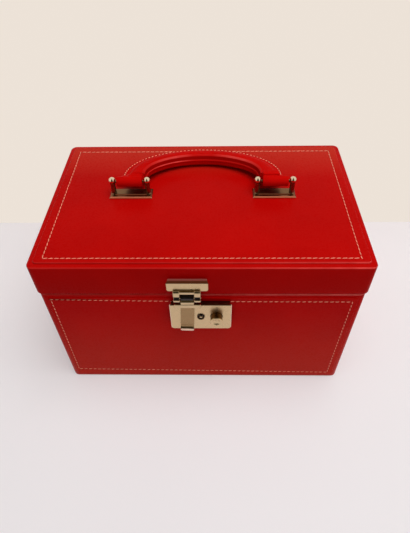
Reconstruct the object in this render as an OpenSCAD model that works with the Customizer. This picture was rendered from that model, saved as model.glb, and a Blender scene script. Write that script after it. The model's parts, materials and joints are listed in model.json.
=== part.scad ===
// Leather travel jewelry box with a hinged lid, a folding handle, a hasp lock and a lift-out tray.
// Millimetres. The origin is the centre of the base, +X is to the right, the front faces -Y, +Z is up.

/* [Case] */
// Width of the lid over its leather
lid_w = 244; // [220:1:280]
// Depth of the lid over its leather
lid_d = 154; // [140:1:190]
// Height of the closed case to the top of the padded panel
case_h = 148; // [130:1:180]
// Height of the lid from the middle of the seam
lid_h = 30; // [27:0.5:40]
// Open gap at the seam
seam_gap = 1.2; // [0.8:0.1:2]
// How far the lid stands out over the body on each side
lid_overhang = 1; // [0.8:0.1:1.6]
// Radius of the upright corners
corner_r = 5; // [4:0.5:8]

/* [Shell] */
// Thickness of the wooden boards
board_t = 5; // [4:0.5:6]
// Thickness of the leather wrap
leather_t = 1; // [0.8:0.1:1.4]
// Thickness of the stitched panels on the body's sides
side_panel_t = 0.6; // [0.4:0.1:1]
// Margin between a side panel and the edges of the body
side_panel_margin = 3.4; // [2:0.2:6]
// Radius of a side panel's corners
side_panel_r = 2.5; // [1:0.5:5]
// Thickness of the padded panel on the lid
top_panel_t = 1.4; // [1:0.1:2.4]
// Margin between the padded panel and the edges of the lid
top_panel_margin = 4.1; // [3:0.1:7]
// Radius of the padded panel's corners
top_panel_r = 3; // [1:0.5:6]
// Thickness of the base panel
base_t = 1.2; // [1:0.1:2]
// Margin between the base panel and the edges of the body
base_margin = 3; // [2:0.5:8]
// Height of the leather wrap's lower edge over the floor
wrap_lift = 0.5; // [0.3:0.1:0.9]

/* [Rear hinges] */
// Distance of each hinge from the middle of the case
hinge_offset = 70; // [40:1:85]
// Length of a hinge along its pin
hinge_len = 30; // [24:1:40]
// Radius of the hinge barrel
hinge_barrel_r = 2.4; // [2:0.1:2.6]
// Radius of the hinge pin
hinge_pin_r = 1; // [0.8:0.1:1.2]
// Distance of the hinge axis behind the lid's back face
hinge_axis_out = 2.7; // [2.7:0.1:3.2]
// Thickness of the upper leaf
leaf_t = 1.2; // [1:0.1:1.5]
// Height of a leaf from the hinge axis
leaf_h = 16; // [14:0.5:20]
// Distance of the leaf screws from the hinge axis
leaf_screw_z = 10; // [8:0.5:12]
// Distance between the two screws of a leaf
leaf_screw_gap = 18; // [14:1:20]

/* [Lock] */
// Place of the lock's middle along the front
lock_x = -0.8; // [-6:0.1:6]
// How far the lock's middle lies below the seam
lock_drop = 21.1; // [20.5:0.1:24]
// Width of the lock plate
lock_w = 46.4; // [44:0.2:56]
// Height of the lock plate
lock_h = 29.4; // [28:0.2:32]
// How far the lock plate stands out from the body's leather
lock_out = 5.5; // [5:0.1:7]
// Thickness of the lock plate
lock_plate_t = 1; // [0.8:0.1:1.4]
// Radius of the plate's lower corners
lock_corner_r = 2.5; // [1:0.1:4]
// Radius of the plate's upper corners
lock_top_r = 1; // [0.5:0.1:2]
// Margin between the lock case and the plate's edges
lock_case_margin = 1.2; // [1:0.1:1.6]
// Depth of the lock case behind the plate
lock_case_d = 7.7; // [7.5:0.1:8.2]
// Thickness of the lock case's walls
lock_case_t = 0.8; // [0.6:0.1:1]
// Height of the keyhole and the button over the lock's middle
key_up = 0.9; // [0.5:0.1:1.2]
// Place of the keyhole along the front
key_x = -0.7; // [-1.2:0.1:0]
// Outer radius of the turning key hub
key_hub_r = 2.45; // [2.3:0.05:2.6]
// Radius of the bore in the key hub
key_bore_r = 1.9; // [1.7:0.05:2]
// Radius of the fixed centre post in the keyhole
key_post_r = 0.75; // [0.6:0.05:0.8]
// Reach of the key cam's arm from the keyhole's centre
cam_reach = 6.6; // [6.4:0.1:6.8]
// Place of the push button along the front
button_x = 11.1; // [10.8:0.1:11.4]
// Radius of the button's cap
button_cap_r = 4.8; // [4:0.1:5.4]
// How far the cap stands out from the lock plate
button_out = 5.5; // [5:0.1:7]
// Radius of the button's neck
button_neck_r = 3; // [2.6:0.1:3.1]
// Travel of the push button
button_travel = 2; // [1.6:0.1:2]

/* [Hasp] */
// Place of the strap's middle along the front
hasp_x = -10.2; // [-11:0.1:-10]
// Height of the strap's hinge axis over the seam
hasp_axis_up = 2.2; // [1.8:0.1:2.6]
// Distance of the strap's hinge axis in front of the lid
hasp_axis_out = 4.1; // [4.1:0.1:4.6]
// Radius of the two ears
ear_r = 3.7; // [3.2:0.1:3.8]
// Width of each ear
ear_w = 4.7; // [4:0.1:6]
// Width of the window between the ears
ear_gap = 10.4; // [9:0.1:12]
// Radius of the hasp pin
hasp_pin_r = 1; // [0.8:0.1:1.2]
// Width of the metal bar on the lid at its front
bar_w = 29.8; // [28:0.2:36]
// Height of the metal bar on the lid
bar_h = 8.2; // [7:0.1:9]
// How far the metal bar stands out from the lid
bar_out = 4.7; // [4:0.1:5.5]
// Height of the metal bar's lower edge over the seam
bar_up = 9.6; // [9.4:0.1:10.5]
// How much narrower the metal bar is at its back on each side
bar_draft = 1.1; // [0.5:0.1:2]
// Radius of the metal bar's lower corners
bar_r = 1.8; // [1:0.1:2.5]
// Width of the strap's tongue
tongue_w = 10.2; // [9:0.1:12]
// Thickness of the strap's tongue
tongue_t = 1.5; // [1.2:0.1:1.8]
// Width of the strap's shouldered top
shoulder_w = 20; // [18:0.2:24]
// Height of the strap's shouldered top
shoulder_h = 3.8; // [3:0.1:4]
// Running gap between the strap and the lock plate
strap_gap = 0.3; // [0.2:0.05:0.6]
// Radius of the bend in the finger lip
lip_r = 3.4; // [3:0.1:4]
// Width of the staple behind the strap
staple_w = 3; // [2.6:0.1:3.4]
// Reach of the staple behind the strap
staple_reach = 4.7; // [4.4:0.1:5]
// Side clearance of the staple in its slot
staple_gap = 0.4; // [0.3:0.05:0.6]

/* [Handle] */
// Distance of each handle mount from the middle of the lid
mount_offset = 57.2; // [52:0.2:66]
// Place of the handle's pivot axis behind the middle of the lid
pivot_y = 3.2; // [0:0.1:8]
// Height of the pivot axis over the lid's panel
pivot_up = 12.6; // [12:0.1:15]
// Width of a mount's base plate
mount_w = 34; // [33:0.5:38]
// Depth of a mount's base plate
mount_d = 12; // [11:0.5:16]
// Thickness of a mount's base plate
mount_t = 1.8; // [1.2:0.1:2.2]
// Bevel of a mount's base plate
mount_bevel = 0.9; // [0.4:0.1:1]
// Height of the raised web over a mount's base plate
web_t = 0.8; // [0.4:0.1:1]
// Distance between the two posts of a mount
post_gap = 27.4; // [27:0.1:29]
// Radius of a post
post_r = 1.9; // [1.7:0.1:2]
// Radius of the ball on a post
ball_r = 2.65; // [2.3:0.05:2.8]
// Height of the ball's centre over the pivot axis
ball_up = 1.7; // [1.5:0.1:2]
// Radius of the pivot bar between two posts
pivot_bar_r = 1.25; // [1.1:0.05:1.5]
// Radius of the leather loop round a pivot bar
loop_r = 4; // [3.6:0.1:4.4]
// Length of a leather loop along its bar
loop_len = 20; // [18:0.2:21]
// Half width of the handle's arch at the middle of its band
arch_half = 54; // [50:0.5:60]
// Rise of the arch from the pivot axis to the middle of its band
arch_rise = 46.5; // [43:0.5:52]
// Width of the handle's band
band_w = 19; // [17:0.5:20]
// Thickness of the padded inner roll
roll_t = 10; // [8:0.5:11]
// Width of the padded inner roll
roll_w = 12.5; // [11:0.5:13]
// Thickness of the stitched outer flange
flange_t = 4; // [3:0.2:5]
// Width of the stiff core strip in the roll
core_w = 7; // [4:0.5:8]
// Thickness of the stiff core strip
core_t = 2; // [1.2:0.1:2.4]

/* [Inside] */
// Thickness of the liner walls
liner_t = 2; // [1.6:0.1:2.4]
// Height of the liner's lip over the body's rim
lip_h = 4.6; // [3:0.1:6]
// Thickness of the lid's lining
lining_t = 0.6; // [0.4:0.1:0.7]
// Thickness of the padded floor
floor_pad_t = 4; // [3:0.5:6]
// Thickness of the lower divider
lower_divider_t = 3; // [2:0.5:5]
// Place of the lower divider from the middle
lower_divider_x = 0; // [-30:1:30]
// Width of a tray ledge
ledge_w = 5; // [4:0.5:8]
// Height of a tray ledge
ledge_h = 6; // [4:0.5:8]
// Height of the tray's rim over the middle of the seam
tray_rim_up = 1.5; // [-4:0.5:2]
// Height of the tray
tray_h = 43.5; // [42:0.5:44]
// Side clearance of the tray in the liner
tray_gap = 0.8; // [0.6:0.1:1.5]
// Thickness of the tray's walls
tray_wall = 3; // [2:0.5:4]
// Thickness of the tray's base
tray_base_t = 2; // [1.5:0.5:3]
// Thickness of the tray's dividers
tray_divider_t = 2.4; // [2:0.2:4]
// Height of the tray's dividers
tray_divider_h = 34; // [24:1:34]
// Width of the ring section
ring_zone_w = 66; // [50:1:80]
// Diameter of a ring roll
ring_roll_d = 15.2; // [12:0.2:18]
// Least gap between ring rolls
ring_roll_gap = 0.4; // [0.3:0.1:1]
// Thickness of the pads in the tray
tray_pad_t = 1.2; // [1:0.1:2]
// Width of a ribbon pull
ribbon_w = 12; // [8:1:16]
// Thickness of a ribbon pull
ribbon_t = 0.8; // [0.6:0.1:1]
// Width of the mirror
mirror_w = 190; // [150:1:200]
// Height of the mirror
mirror_h = 102; // [80:1:120]
// Thickness of the mirror
mirror_t = 2; // [1.6:0.1:2.4]
// Width of the mirror frame
frame_w = 7; // [6:0.5:12]
// Thickness of the mirror frame
frame_t = 3.4; // [3:0.1:4]

/* [Screws] */
// Radius of a wood screw's shank
screw_r = 1; // [0.8:0.1:1.1]
// Radius of a wood screw's head
screw_head_r = 2.1; // [1.8:0.1:2.3]
// Thickness of a wood screw's head
screw_head_t = 0.8; // [0.5:0.1:0.9]
// Length of a wood screw's shank in the board
screw_len = 4; // [3:0.5:4]

/* [Hidden] */
$fn = 64;

// Running clearance of a pin in its bore, and of a seat that must come apart
run = 0.05;
seat = 0.3;
over = 1;

seam_z = case_h - lid_h;
lock_z = seam_z - lock_drop;
tray_z = seam_z + tray_rim_up - tray_h;
body_w = lid_w - 2 * lid_overhang;
body_d = lid_d - 2 * lid_overhang;
body_top = seam_z - seam_gap / 2;
lid_bottom = seam_z + seam_gap / 2;
board_w = body_w - 2 * leather_t;
board_d = body_d - 2 * leather_t;
board_r = corner_r - leather_t;
lid_board_w = lid_w - 2 * leather_t;
lid_board_d = lid_d - 2 * leather_t;
in_w = board_w - 2 * board_t;
in_d = board_d - 2 * board_t;
lid_in_w = lid_board_w - 2 * board_t;
lid_in_d = lid_board_d - 2 * board_t;
board_top = body_top - leather_t;
lid_board_bottom = lid_bottom + leather_t;
lid_wrap_top = case_h - top_panel_t;
lid_board_top = lid_wrap_top - leather_t;
lid_ceiling = lid_board_top - board_t;
floor_z = base_t + board_t;

body_front = -body_d / 2;
lid_front = -lid_d / 2;
panel_front = body_front - side_panel_t;
panel_z0 = side_panel_margin;
panel_z1 = body_top - side_panel_margin;

hinge_y = lid_d / 2 + hinge_axis_out;
leaf_start = hinge_barrel_r + 0.2;
knuckle_gap = 0.2;
knuckle_len = hinge_len / 3;

plate_front = body_front - lock_out;
plate_back = plate_front + lock_plate_t;
case_back = plate_back + lock_case_d;
case_w = lock_w - 2 * lock_case_margin;
case_hh = lock_h - 2 * lock_case_margin;
case_floor = case_back - lock_case_t;
case_right = lock_x + case_w / 2 - lock_case_t;
lock_top = lock_z + lock_h / 2;
key_z = lock_z + key_up;

button_shank_r = 2.6;
button_flange_r = 3.6;
button_flange_t = 0.8;
cap_t = 1.8;
dish_r = 15;
dish_depth = 0.6;
cone_r = 3.2;
cone_tip_r = 1.2;
cone_back = 2.4;
cone_y = plate_back + cone_back;
cone_len = cone_r - cone_tip_r;

cam_t = 2;
cam_arm_w = 2;
cam_disc_r = 3.4;
cam_floor_gap = 1.1;
cam_y = case_floor - cam_floor_gap - cam_t;
bolt_up = 4.7;
bolt_z0 = key_z + bolt_up;
bolt_h = 3;
bolt_t = 3.2;
bolt_back = 1;
bolt_y1 = cam_y + bolt_back;
bolt_y0 = bolt_y1 - bolt_t;
bolt_past_button = 5.2;
bolt_x1 = button_x + bolt_past_button;
bolt_x0 = hasp_x + staple_w / 2 + seat;
notch_w = 6.5;
notch_spare = 0.5;
wedge_h = 6;
wedge_gap = 0.4;
yoke_w = bolt_past_button - cone_r - wedge_gap;

hasp_y = lid_front - hasp_axis_out;
hasp_z = seam_z + hasp_axis_up;
strap_back = plate_front - strap_gap;
strap_front = strap_back - tongue_t;
shoulder_z0 = lock_top - 0.8;
shoulder_z1 = shoulder_z0 + shoulder_h;
knuckle_r = 2.2;
bar_z0 = seam_z + bar_up;
bar_front = lid_front - bar_out;
lip_z = lock_z - 6.6;
staple_z0 = bolt_z0 - 1.6;
staple_z1 = bolt_z0 + bolt_h + 1.6;

mount_top = case_h + mount_t;
pivot_z = case_h + pivot_up;
arch_foot = loop_r + 4;
leg_start = ball_r + ball_up + 0.85;
arch_h = arch_rise - arch_foot;
arch_steps = 24;
roll_middle = -band_w / 2 + roll_w / 2;
roll_far = arch_rise + roll_middle + roll_w / 2;
handle_rest_gap = 0.4;
handle_droop = asin((pivot_up - handle_rest_gap) / norm([roll_far, roll_t / 2]))
    - atan2(roll_t / 2, roll_far);
tab_half = arch_half + band_w / 2 - (mount_offset - loop_len / 2);

liner_top = body_top + lip_h;
liner_w = in_w - 2 * liner_t;
liner_d = in_d - 2 * liner_t;
tray_w = liner_w - 2 * tray_gap;
tray_d = liner_d - 2 * tray_gap;
tray_in_w = tray_w - 2 * tray_wall;
tray_in_d = tray_d - 2 * tray_wall;
tray_floor = tray_z + tray_base_t;
tray_seat = 0.2;
ring_x0 = -tray_in_w / 2;
ring_x1 = ring_x0 + ring_zone_w;
split_x = (ring_x1 + tray_in_w / 2) / 2 + tray_divider_t / 2;
ring_pitch = tray_in_d / floor(tray_in_d / (ring_roll_d + ring_roll_gap));
ring_count = floor(tray_in_d / (ring_roll_d + ring_roll_gap));

leather_red = "#b4100c";
thread_cream = "#f0c8b0";
gold = "#c8ac80";
wood = "#b08a5a";
suede = "#7a1a1c";
card = "#5a1416";

// A box between two corners
module block(a, b) {
    translate(a) cube(b - a);
}

// A rectangle with round corners, centred
module round_rect(w, d, r) {
    square([w - 2 * r, d], center = true);
    square([w, d - 2 * r], center = true);
    for (x = [-1, 1], y = [-1, 1]) {
        translate([x * (w / 2 - r), y * (d / 2 - r)]) circle(r);
    }
}

// A round-cornered slab between two heights
module round_slab(w, d, r, z0, z1) {
    translate([0, 0, z0]) linear_extrude(z1 - z0) round_rect(w, d, r);
}

// An outline in X and Z, made solid from y0 towards the back
module front_plate(y0, t) {
    translate([0, y0 + t, 0]) rotate([90, 0, 0]) linear_extrude(t) children();
}

// An outline in Y and Z, made solid from x0 to the right
module side_plate(x0, t) {
    translate([x0, 0, 0]) rotate([90, 0, 90]) linear_extrude(t) children();
}

// A round bar along X from x0 to x1
module bar_x(r, x0, x1) {
    translate([x0, 0, 0]) rotate([0, 90, 0]) cylinder(r = r, h = x1 - x0);
}

// A round bar along Y from y0 to y1
module bar_y(r, y0, y1) {
    translate([0, y0, 0]) rotate([-90, 0, 0]) cylinder(r = r, h = y1 - y0);
}

// The room that the lock needs in the front board, its leather and its panel
module lock_pocket() {
    w = case_w / 2 + run;
    h = case_hh / 2 + run;
    block([lock_x - w, plate_back, lock_z - h], [lock_x + w, case_back + run, lock_z + h]);
}

// The four body walls, cut from one round-cornered ring
module wall_ring(w, d, z0, z1) {
    intersection() {
        round_slab(w, d, board_r, z0, z1);
        children();
    }
}

module front_board() {
    color(wood) difference() {
        wall_ring(board_w, board_d, base_t, board_top)
            block([-board_w, -board_d / 2 - over, 0], [board_w, -in_d / 2, seam_z]);
        lock_pocket();
        lock_screw_places() bar_y(screw_r, case_back - over, -in_d / 2 + over);
        lock_screw_places() bar_y(screw_head_r + run, -in_d / 2 - screw_head_t, -in_d / 2 + over);
    }
}

module back_board() {
    color(wood) wall_ring(board_w, board_d, base_t, board_top)
        block([-board_w, in_d / 2, 0], [board_w, board_d / 2 + over, seam_z]);
}

module side_board(side) {
    x0 = side * (in_w + board_w) / 4 - board_t / 2;
    color(wood) block([x0, -in_d / 2, base_t], [x0 + board_t, in_d / 2, board_top]);
}

module left_board() { side_board(-1); }
module right_board() { side_board(1); }

module bottom_board() {
    color(wood) block([-in_w / 2, -in_d / 2, base_t], [in_w / 2, in_d / 2, floor_z]);
}

// The leather round the body, turned over the rim
module body_wrap() {
    color(leather_red) difference() {
        round_slab(body_w, body_d, corner_r, wrap_lift, body_top);
        round_slab(board_w, board_d, board_r, 0, board_top);
        block([-in_w / 2, -in_d / 2, 0], [in_w / 2, in_d / 2, seam_z]);
        lock_pocket();
    }
}

module base_panel() {
    color(leather_red)
        round_slab(body_w - 2 * base_margin, body_d - 2 * base_margin, corner_r, 0, base_t);
}

// The outline of an upright stitched panel, of a given width
module side_panel_outline(w) {
    translate([0, (panel_z0 + panel_z1) / 2])
        round_rect(w - 2 * (corner_r + 0.2), panel_z1 - panel_z0, side_panel_r);
}

module front_panel() {
    color(leather_red) difference() {
        front_plate(panel_front, side_panel_t) side_panel_outline(body_w);
        lock_pocket();
    }
}

module back_panel() {
    color(leather_red) front_plate(body_d / 2, side_panel_t) side_panel_outline(body_w);
}

module end_panel(side) {
    x0 = side * (body_w + side_panel_t) / 2 - side_panel_t / 2;
    color(leather_red) side_plate(x0, side_panel_t) side_panel_outline(body_d);
}

module left_panel() { end_panel(-1); }
module right_panel() { end_panel(1); }

// The lined card walls inside the body, which stand above its rim
module liner_long(side) {
    y0 = side * (in_d - liner_t) / 2 - liner_t / 2;
    color(suede) block([-in_w / 2, y0, floor_z], [in_w / 2, y0 + liner_t, liner_top]);
}

module liner_short(side) {
    x0 = side * (in_w - liner_t) / 2 - liner_t / 2;
    color(suede) block([x0, -liner_d / 2, floor_z], [x0 + liner_t, liner_d / 2, liner_top]);
}

module liner_front() { liner_long(-1); }
module liner_back() { liner_long(1); }
module liner_left() { liner_short(-1); }
module liner_right() { liner_short(1); }

module floor_pad() {
    color(suede) block([-liner_w / 2, -liner_d / 2, floor_z], [liner_w / 2, liner_d / 2, floor_z + floor_pad_t]);
}

module lower_divider() {
    x = lower_divider_x;
    t = lower_divider_t / 2;
    color(suede) block([x - t, -liner_d / 2, floor_z + floor_pad_t], [x + t, liner_d / 2, ledge_z1()]);
}

function ledge_z1() = tray_z - tray_seat;

module tray_ledges() {
    for (side = [-1, 1]) {
        x0 = side * (liner_w - ledge_w) / 2 - ledge_w / 2;
        color(suede) block([x0, -liner_d / 2, ledge_z1() - ledge_h], [x0 + ledge_w, liner_d / 2, ledge_z1()]);
    }
}

// The lock plate's outline, and the slot through which the staple comes and goes
module lock_outline() {
    translate([lock_x, lock_z]) {
        round_rect(lock_w, lock_h, lock_corner_r);
        translate([0, lock_h / 4]) round_rect(lock_w, lock_h / 2, lock_top_r);
    }
}

module staple_slot() {
    w = staple_w / 2 + staple_gap;
    block([hasp_x - w, plate_front - over, staple_z0 - 0.8],
        [hasp_x + w, strap_back + staple_reach + 0.6, lock_top + over]);
}

module lock_plate() {
    color(gold) difference() {
        front_plate(plate_front, lock_plate_t) lock_outline();
        translate([key_x, 0, key_z]) bar_y(key_hub_r + 0.08, plate_front - over, plate_back + over);
        translate([button_x, 0, key_z]) bar_y(button_shank_r + run, plate_front - over, plate_back + over);
        staple_slot();
    }
}

// Places of the two screws that hold the lock case from inside the board
module lock_screw_places() {
    for (side = [-1, 1]) {
        translate([lock_x + side * case_w * 0.38, 0, lock_z - case_hh * 0.32]) children();
    }
}

// The mortised case, with the keyhole's centre post and two guides for the bolt
module lock_case() {
    w = case_w / 2;
    h = case_hh / 2;
    color(gold) difference() {
        union() {
            difference() {
                block([lock_x - w, plate_back, lock_z - h], [lock_x + w, case_back, lock_z + h]);
                block([lock_x - w + lock_case_t, plate_back - over, lock_z - h + lock_case_t],
                    [lock_x + w - lock_case_t, case_floor, lock_z + h - lock_case_t]);
                staple_slot();
            }
            translate([key_x, 0, key_z]) bar_y(key_post_r, plate_front + 0.6, case_floor + lock_case_t / 2);
            for (x = [key_x - 5, key_x + 7]) {
                block([x - 1, bolt_y1 + 0.1, bolt_z0], [x + 1, case_floor + run, bolt_z0 + bolt_h]);
            }
        }
        lock_screw_places() bar_y(screw_r, case_floor - over, case_back + over);
    }
}

module lock_screws() {
    lock_screw_places() color(gold) {
        bar_y(screw_r - run, case_floor, -in_d / 2 - screw_head_t + run);
        bar_y(screw_head_r, -in_d / 2 - screw_head_t, -in_d / 2);
    }
}

// The return spring, drawn as the sleeve that its turns fill
module bolt_spring() {
    color("silver") translate([0, (bolt_y0 + bolt_y1) / 2, bolt_z0 + bolt_h / 2]) difference() {
        bar_x(1.3, bolt_x1, case_right);
        bar_x(0.8, bolt_x1 - over, case_right + over);
    }
}

// Knuckles of a rear hinge, either the outer pair or the middle one
module knuckles(outer) {
    spans = outer
        ? [[-hinge_len / 2, -knuckle_len / 2 - knuckle_gap], [knuckle_len / 2 + knuckle_gap, hinge_len / 2]]
        : [[-knuckle_len / 2, knuckle_len / 2]];
    for (s = spans) bar_x(hinge_barrel_r, s[0], s[1]);
}

module hinge_places() {
    for (side = [-1, 1]) translate([side * hinge_offset, hinge_y, seam_z]) children();
}

module leaf_screw_places(up) {
    for (side = [-1, 1]) translate([side * leaf_screw_gap / 2, 0, up * leaf_screw_z]) children();
}

// The lower leaf lies on the back panel, the upper leaf on the lid's leather
module hinge_lower_leaves() {
    y0 = body_d / 2 + side_panel_t - hinge_y;
    y1 = -hinge_axis_out + leaf_t;
    hinge_places() color(gold) difference() {
        union() {
            block([-hinge_len / 2, y0, -leaf_h], [hinge_len / 2, y1, -leaf_start]);
            knuckles(true);
            for (side = [-1, 1]) {
                x0 = side > 0 ? knuckle_len / 2 + knuckle_gap : -hinge_len / 2;
                x1 = side > 0 ? hinge_len / 2 : -knuckle_len / 2 - knuckle_gap;
                block([x0, -hinge_barrel_r, -leaf_start - run], [x1, y1, 0]);
            }
        }
        bar_x(hinge_pin_r + 0.02, -hinge_len, hinge_len);
        leaf_screw_places(-1) bar_y(screw_r, y0 - over, over);
    }
}

module hinge_upper_leaves() {
    y0 = -hinge_axis_out;
    y1 = y0 + leaf_t;
    hinge_places() color(gold) difference() {
        union() {
            block([-hinge_len / 2, y0, leaf_start], [hinge_len / 2, y1, leaf_h]);
            knuckles(false);
            block([-knuckle_len / 2, -hinge_barrel_r, 0], [knuckle_len / 2, y1, leaf_start + run]);
        }
        bar_x(hinge_pin_r + run, -hinge_len, hinge_len);
        leaf_screw_places(1) bar_y(screw_r, y0 - over, over);
    }
}

module hinge_pins() {
    hinge_places() color(gold) bar_x(hinge_pin_r, -hinge_len / 2 - 0.3, hinge_len / 2 + 0.3);
}

module leaf_screw() {
    y1 = -hinge_axis_out + leaf_t;
    color(gold) {
        bar_y(screw_r - 0.02, y1 - leaf_t - screw_len, y1 + run);
        bar_y(screw_head_r, y1, y1 + screw_head_t);
    }
}

module hinge_lower_screws() {
    hinge_places() leaf_screw_places(-1) leaf_screw();
}

module hinge_upper_screws() {
    hinge_places() leaf_screw_places(1) leaf_screw();
}

// The lift-out tray
module tray_base() {
    color(suede) block([-tray_w / 2, -tray_d / 2, tray_z], [tray_w / 2, tray_d / 2, tray_floor]);
}

module tray_frame() {
    color(suede) difference() {
        block([-tray_w / 2, -tray_d / 2, tray_floor], [tray_w / 2, tray_d / 2, tray_z + tray_h]);
        block([-tray_in_w / 2, -tray_in_d / 2, tray_z], [tray_in_w / 2, tray_in_d / 2, tray_z + tray_h + over]);
    }
}

module tray_dividers() {
    t = tray_divider_t;
    z1 = tray_floor + tray_divider_h;
    color(suede) {
        block([ring_x1, -tray_in_d / 2, tray_floor], [ring_x1 + t, tray_in_d / 2, z1]);
        block([split_x - t / 2, -tray_in_d / 2, tray_floor], [split_x + t / 2, tray_in_d / 2, z1]);
        block([ring_x1 + t / 2, -t / 2, tray_floor], [tray_in_w / 2, t / 2, z1]);
    }
}

module ring_rolls() {
    for (i = [0 : ring_count - 1]) {
        y = -tray_in_d / 2 + (i + 0.5) * ring_pitch;
        color(suede) translate([0, y, tray_floor + ring_roll_d / 2])
            bar_x(ring_roll_d / 2, ring_x0 + seat, ring_x1 - seat);
    }
}

// One pad on the floor of each compartment
module tray_pads() {
    t = tray_divider_t;
    spans = [[ring_x1 + t, split_x - t / 2], [split_x + t / 2, tray_in_w / 2]];
    for (s = spans, side = [-1, 1]) {
        y0 = side > 0 ? t / 2 : -tray_in_d / 2;
        y1 = side > 0 ? tray_in_d / 2 : -t / 2;
        color(suede) block([s[0], y0, tray_floor], [s[1], y1, tray_floor + tray_pad_t]);
    }
}

// Ribbon pulls folded down inside the tray's short walls
module tray_ribbons() {
    z0 = tray_floor + tray_divider_h + seat;
    for (side = [-1, 1]) {
        x0 = side * (tray_in_w - ribbon_t) / 2 - ribbon_t / 2;
        color(leather_red) block([x0, -ribbon_w / 2, z0], [x0 + ribbon_t, ribbon_w / 2, tray_z + tray_h]);
    }
}

// The lid's boards
module lid_long_board(side) {
    y = side * (lid_board_d - board_t) / 2;
    t = board_t / 2;
    color(wood) wall_ring(lid_board_w, lid_board_d, lid_board_bottom, lid_ceiling)
        block([-lid_board_w, y - t, 0], [lid_board_w, y + t, case_h]);
}

module lid_short_board(side) {
    x0 = side * (lid_board_w - board_t) / 2 - board_t / 2;
    color(wood) block([x0, -lid_in_d / 2, lid_board_bottom], [x0 + board_t, lid_in_d / 2, lid_ceiling]);
}

// Places of the two screws behind the metal bar
module bar_screw_places() {
    for (side = [-1, 1]) translate([hasp_x + 0.5 + side * bar_w / 3, 0, bar_z0 + bar_h / 2]) children();
}

module lid_front_board() {
    difference() {
        lid_long_board(-1);
        bar_screw_places() bar_y(screw_r, lid_front, -lid_in_d / 2 + over);
        bar_screw_places() bar_y(screw_head_r + run, -lid_in_d / 2 - screw_head_t, -lid_in_d / 2 + over);
    }
}

module lid_back_board() { lid_long_board(1); }
module lid_left_board() { lid_short_board(-1); }
module lid_right_board() { lid_short_board(1); }

// Places of the screws that hold the handle mounts from inside the lid
module mount_screw_places() {
    for (m = [-1, 1], side = [-1, 1]) {
        translate([m * mount_offset + side * post_gap / 4, pivot_y, 0]) children();
    }
}

module lid_top_board() {
    color(wood) difference() {
        round_slab(lid_board_w, lid_board_d, board_r, lid_ceiling, lid_board_top);
        mount_screw_places() translate([0, 0, lid_ceiling - over]) {
            cylinder(r = screw_r, h = board_t + 2 * over);
            cylinder(r = screw_head_r + run, h = screw_head_t + over);
        }
    }
}

// The leather round the lid, turned over its lower edge
module lid_wrap() {
    color(leather_red) difference() {
        round_slab(lid_w, lid_d, corner_r, lid_bottom, lid_wrap_top);
        round_slab(lid_board_w, lid_board_d, board_r, lid_board_bottom, lid_board_top);
        block([-lid_in_w / 2, -lid_in_d / 2, 0], [lid_in_w / 2, lid_in_d / 2, lid_ceiling]);
        bar_screw_places() bar_y(screw_r, lid_front - over, -lid_board_d / 2 + over);
        mount_screw_places() translate([0, 0, lid_ceiling]) cylinder(r = screw_r, h = case_h);
    }
}

module lid_top_panel() {
    m = 2 * top_panel_margin;
    color(leather_red) difference() {
        round_slab(lid_w - m, lid_d - m, top_panel_r, lid_wrap_top, case_h);
        mount_screw_places() translate([0, 0, lid_ceiling]) cylinder(r = screw_r, h = case_h);
    }
}

module lid_lining() {
    color(suede) difference() {
        block([-lid_in_w / 2, -lid_in_d / 2, lid_bottom + 0.2], [lid_in_w / 2, lid_in_d / 2, lid_ceiling]);
        block([-lid_in_w / 2 + lining_t, -lid_in_d / 2 + lining_t, 0],
            [lid_in_w / 2 - lining_t, lid_in_d / 2 - lining_t, lid_ceiling - lining_t]);
    }
}

// The frame holds the mirror against the lid's lining
module mirror_frame() {
    z1 = lid_ceiling - lining_t;
    w = mirror_w / 2;
    h = mirror_h / 2;
    lip = frame_w * 0.45;
    rim = frame_w - lip;
    color(leather_red) difference() {
        block([-w - rim, -h - rim, z1 - frame_t], [w + rim, h + rim, z1]);
        block([-w + lip, -h + lip, 0], [w - lip, h - lip, z1 + over]);
        block([-w - run, -h - run, z1 - mirror_t - run], [w + run, h + run, z1 + over]);
    }
}

module mirror_glass() {
    z1 = lid_ceiling - lining_t;
    color("lightblue")
        block([-mirror_w / 2, -mirror_h / 2, z1 - mirror_t], [mirror_w / 2, mirror_h / 2, z1]);
}

// The drafted metal bar over the hasp's bracket
module hasp_bar() {
    x = hasp_x + 0.5;
    f = bar_w / 2;
    b = f - bar_draft;
    color(gold) difference() {
        intersection() {
            translate([x, 0, bar_z0]) linear_extrude(bar_h)
                polygon([[-f, bar_front], [f, bar_front], [b, lid_front], [-b, lid_front]]);
            front_plate(bar_front, bar_out) translate([x, bar_z0 + bar_h / 2]) {
                round_rect(bar_w, bar_h, bar_r);
                translate([0, bar_h / 4]) square([bar_w, bar_h / 2], center = true);
            }
        }
        bar_screw_places() bar_y(screw_r - 0.1, lid_front - 3, lid_front + over);
    }
}

// Side outline of an ear, round about the hasp's axis
module ear_outline() {
    polygon([
        [lid_front, bar_z0], [bar_front - 0.2, bar_z0], [hasp_y - ear_r * 0.9, hasp_z + ear_r * 0.44],
        [hasp_y, hasp_z], [lid_front, hasp_z + 0.4]
    ]);
    translate([hasp_y, hasp_z]) circle(ear_r);
}

module hasp_bracket() {
    g = ear_gap / 2;
    color(gold) difference() {
        union() {
            for (side = [-1, 1]) {
                x0 = hasp_x + side * (g + ear_w / 2) - ear_w / 2;
                side_plate(x0, ear_w) ear_outline();
            }
            block([hasp_x - g - run, bar_front, bar_z0 - 2], [hasp_x + g + run, lid_front, bar_z0]);
        }
        translate([hasp_x, hasp_y, hasp_z]) bar_x(hasp_pin_r + 0.02, -lid_w, lid_w);
    }
}

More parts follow.
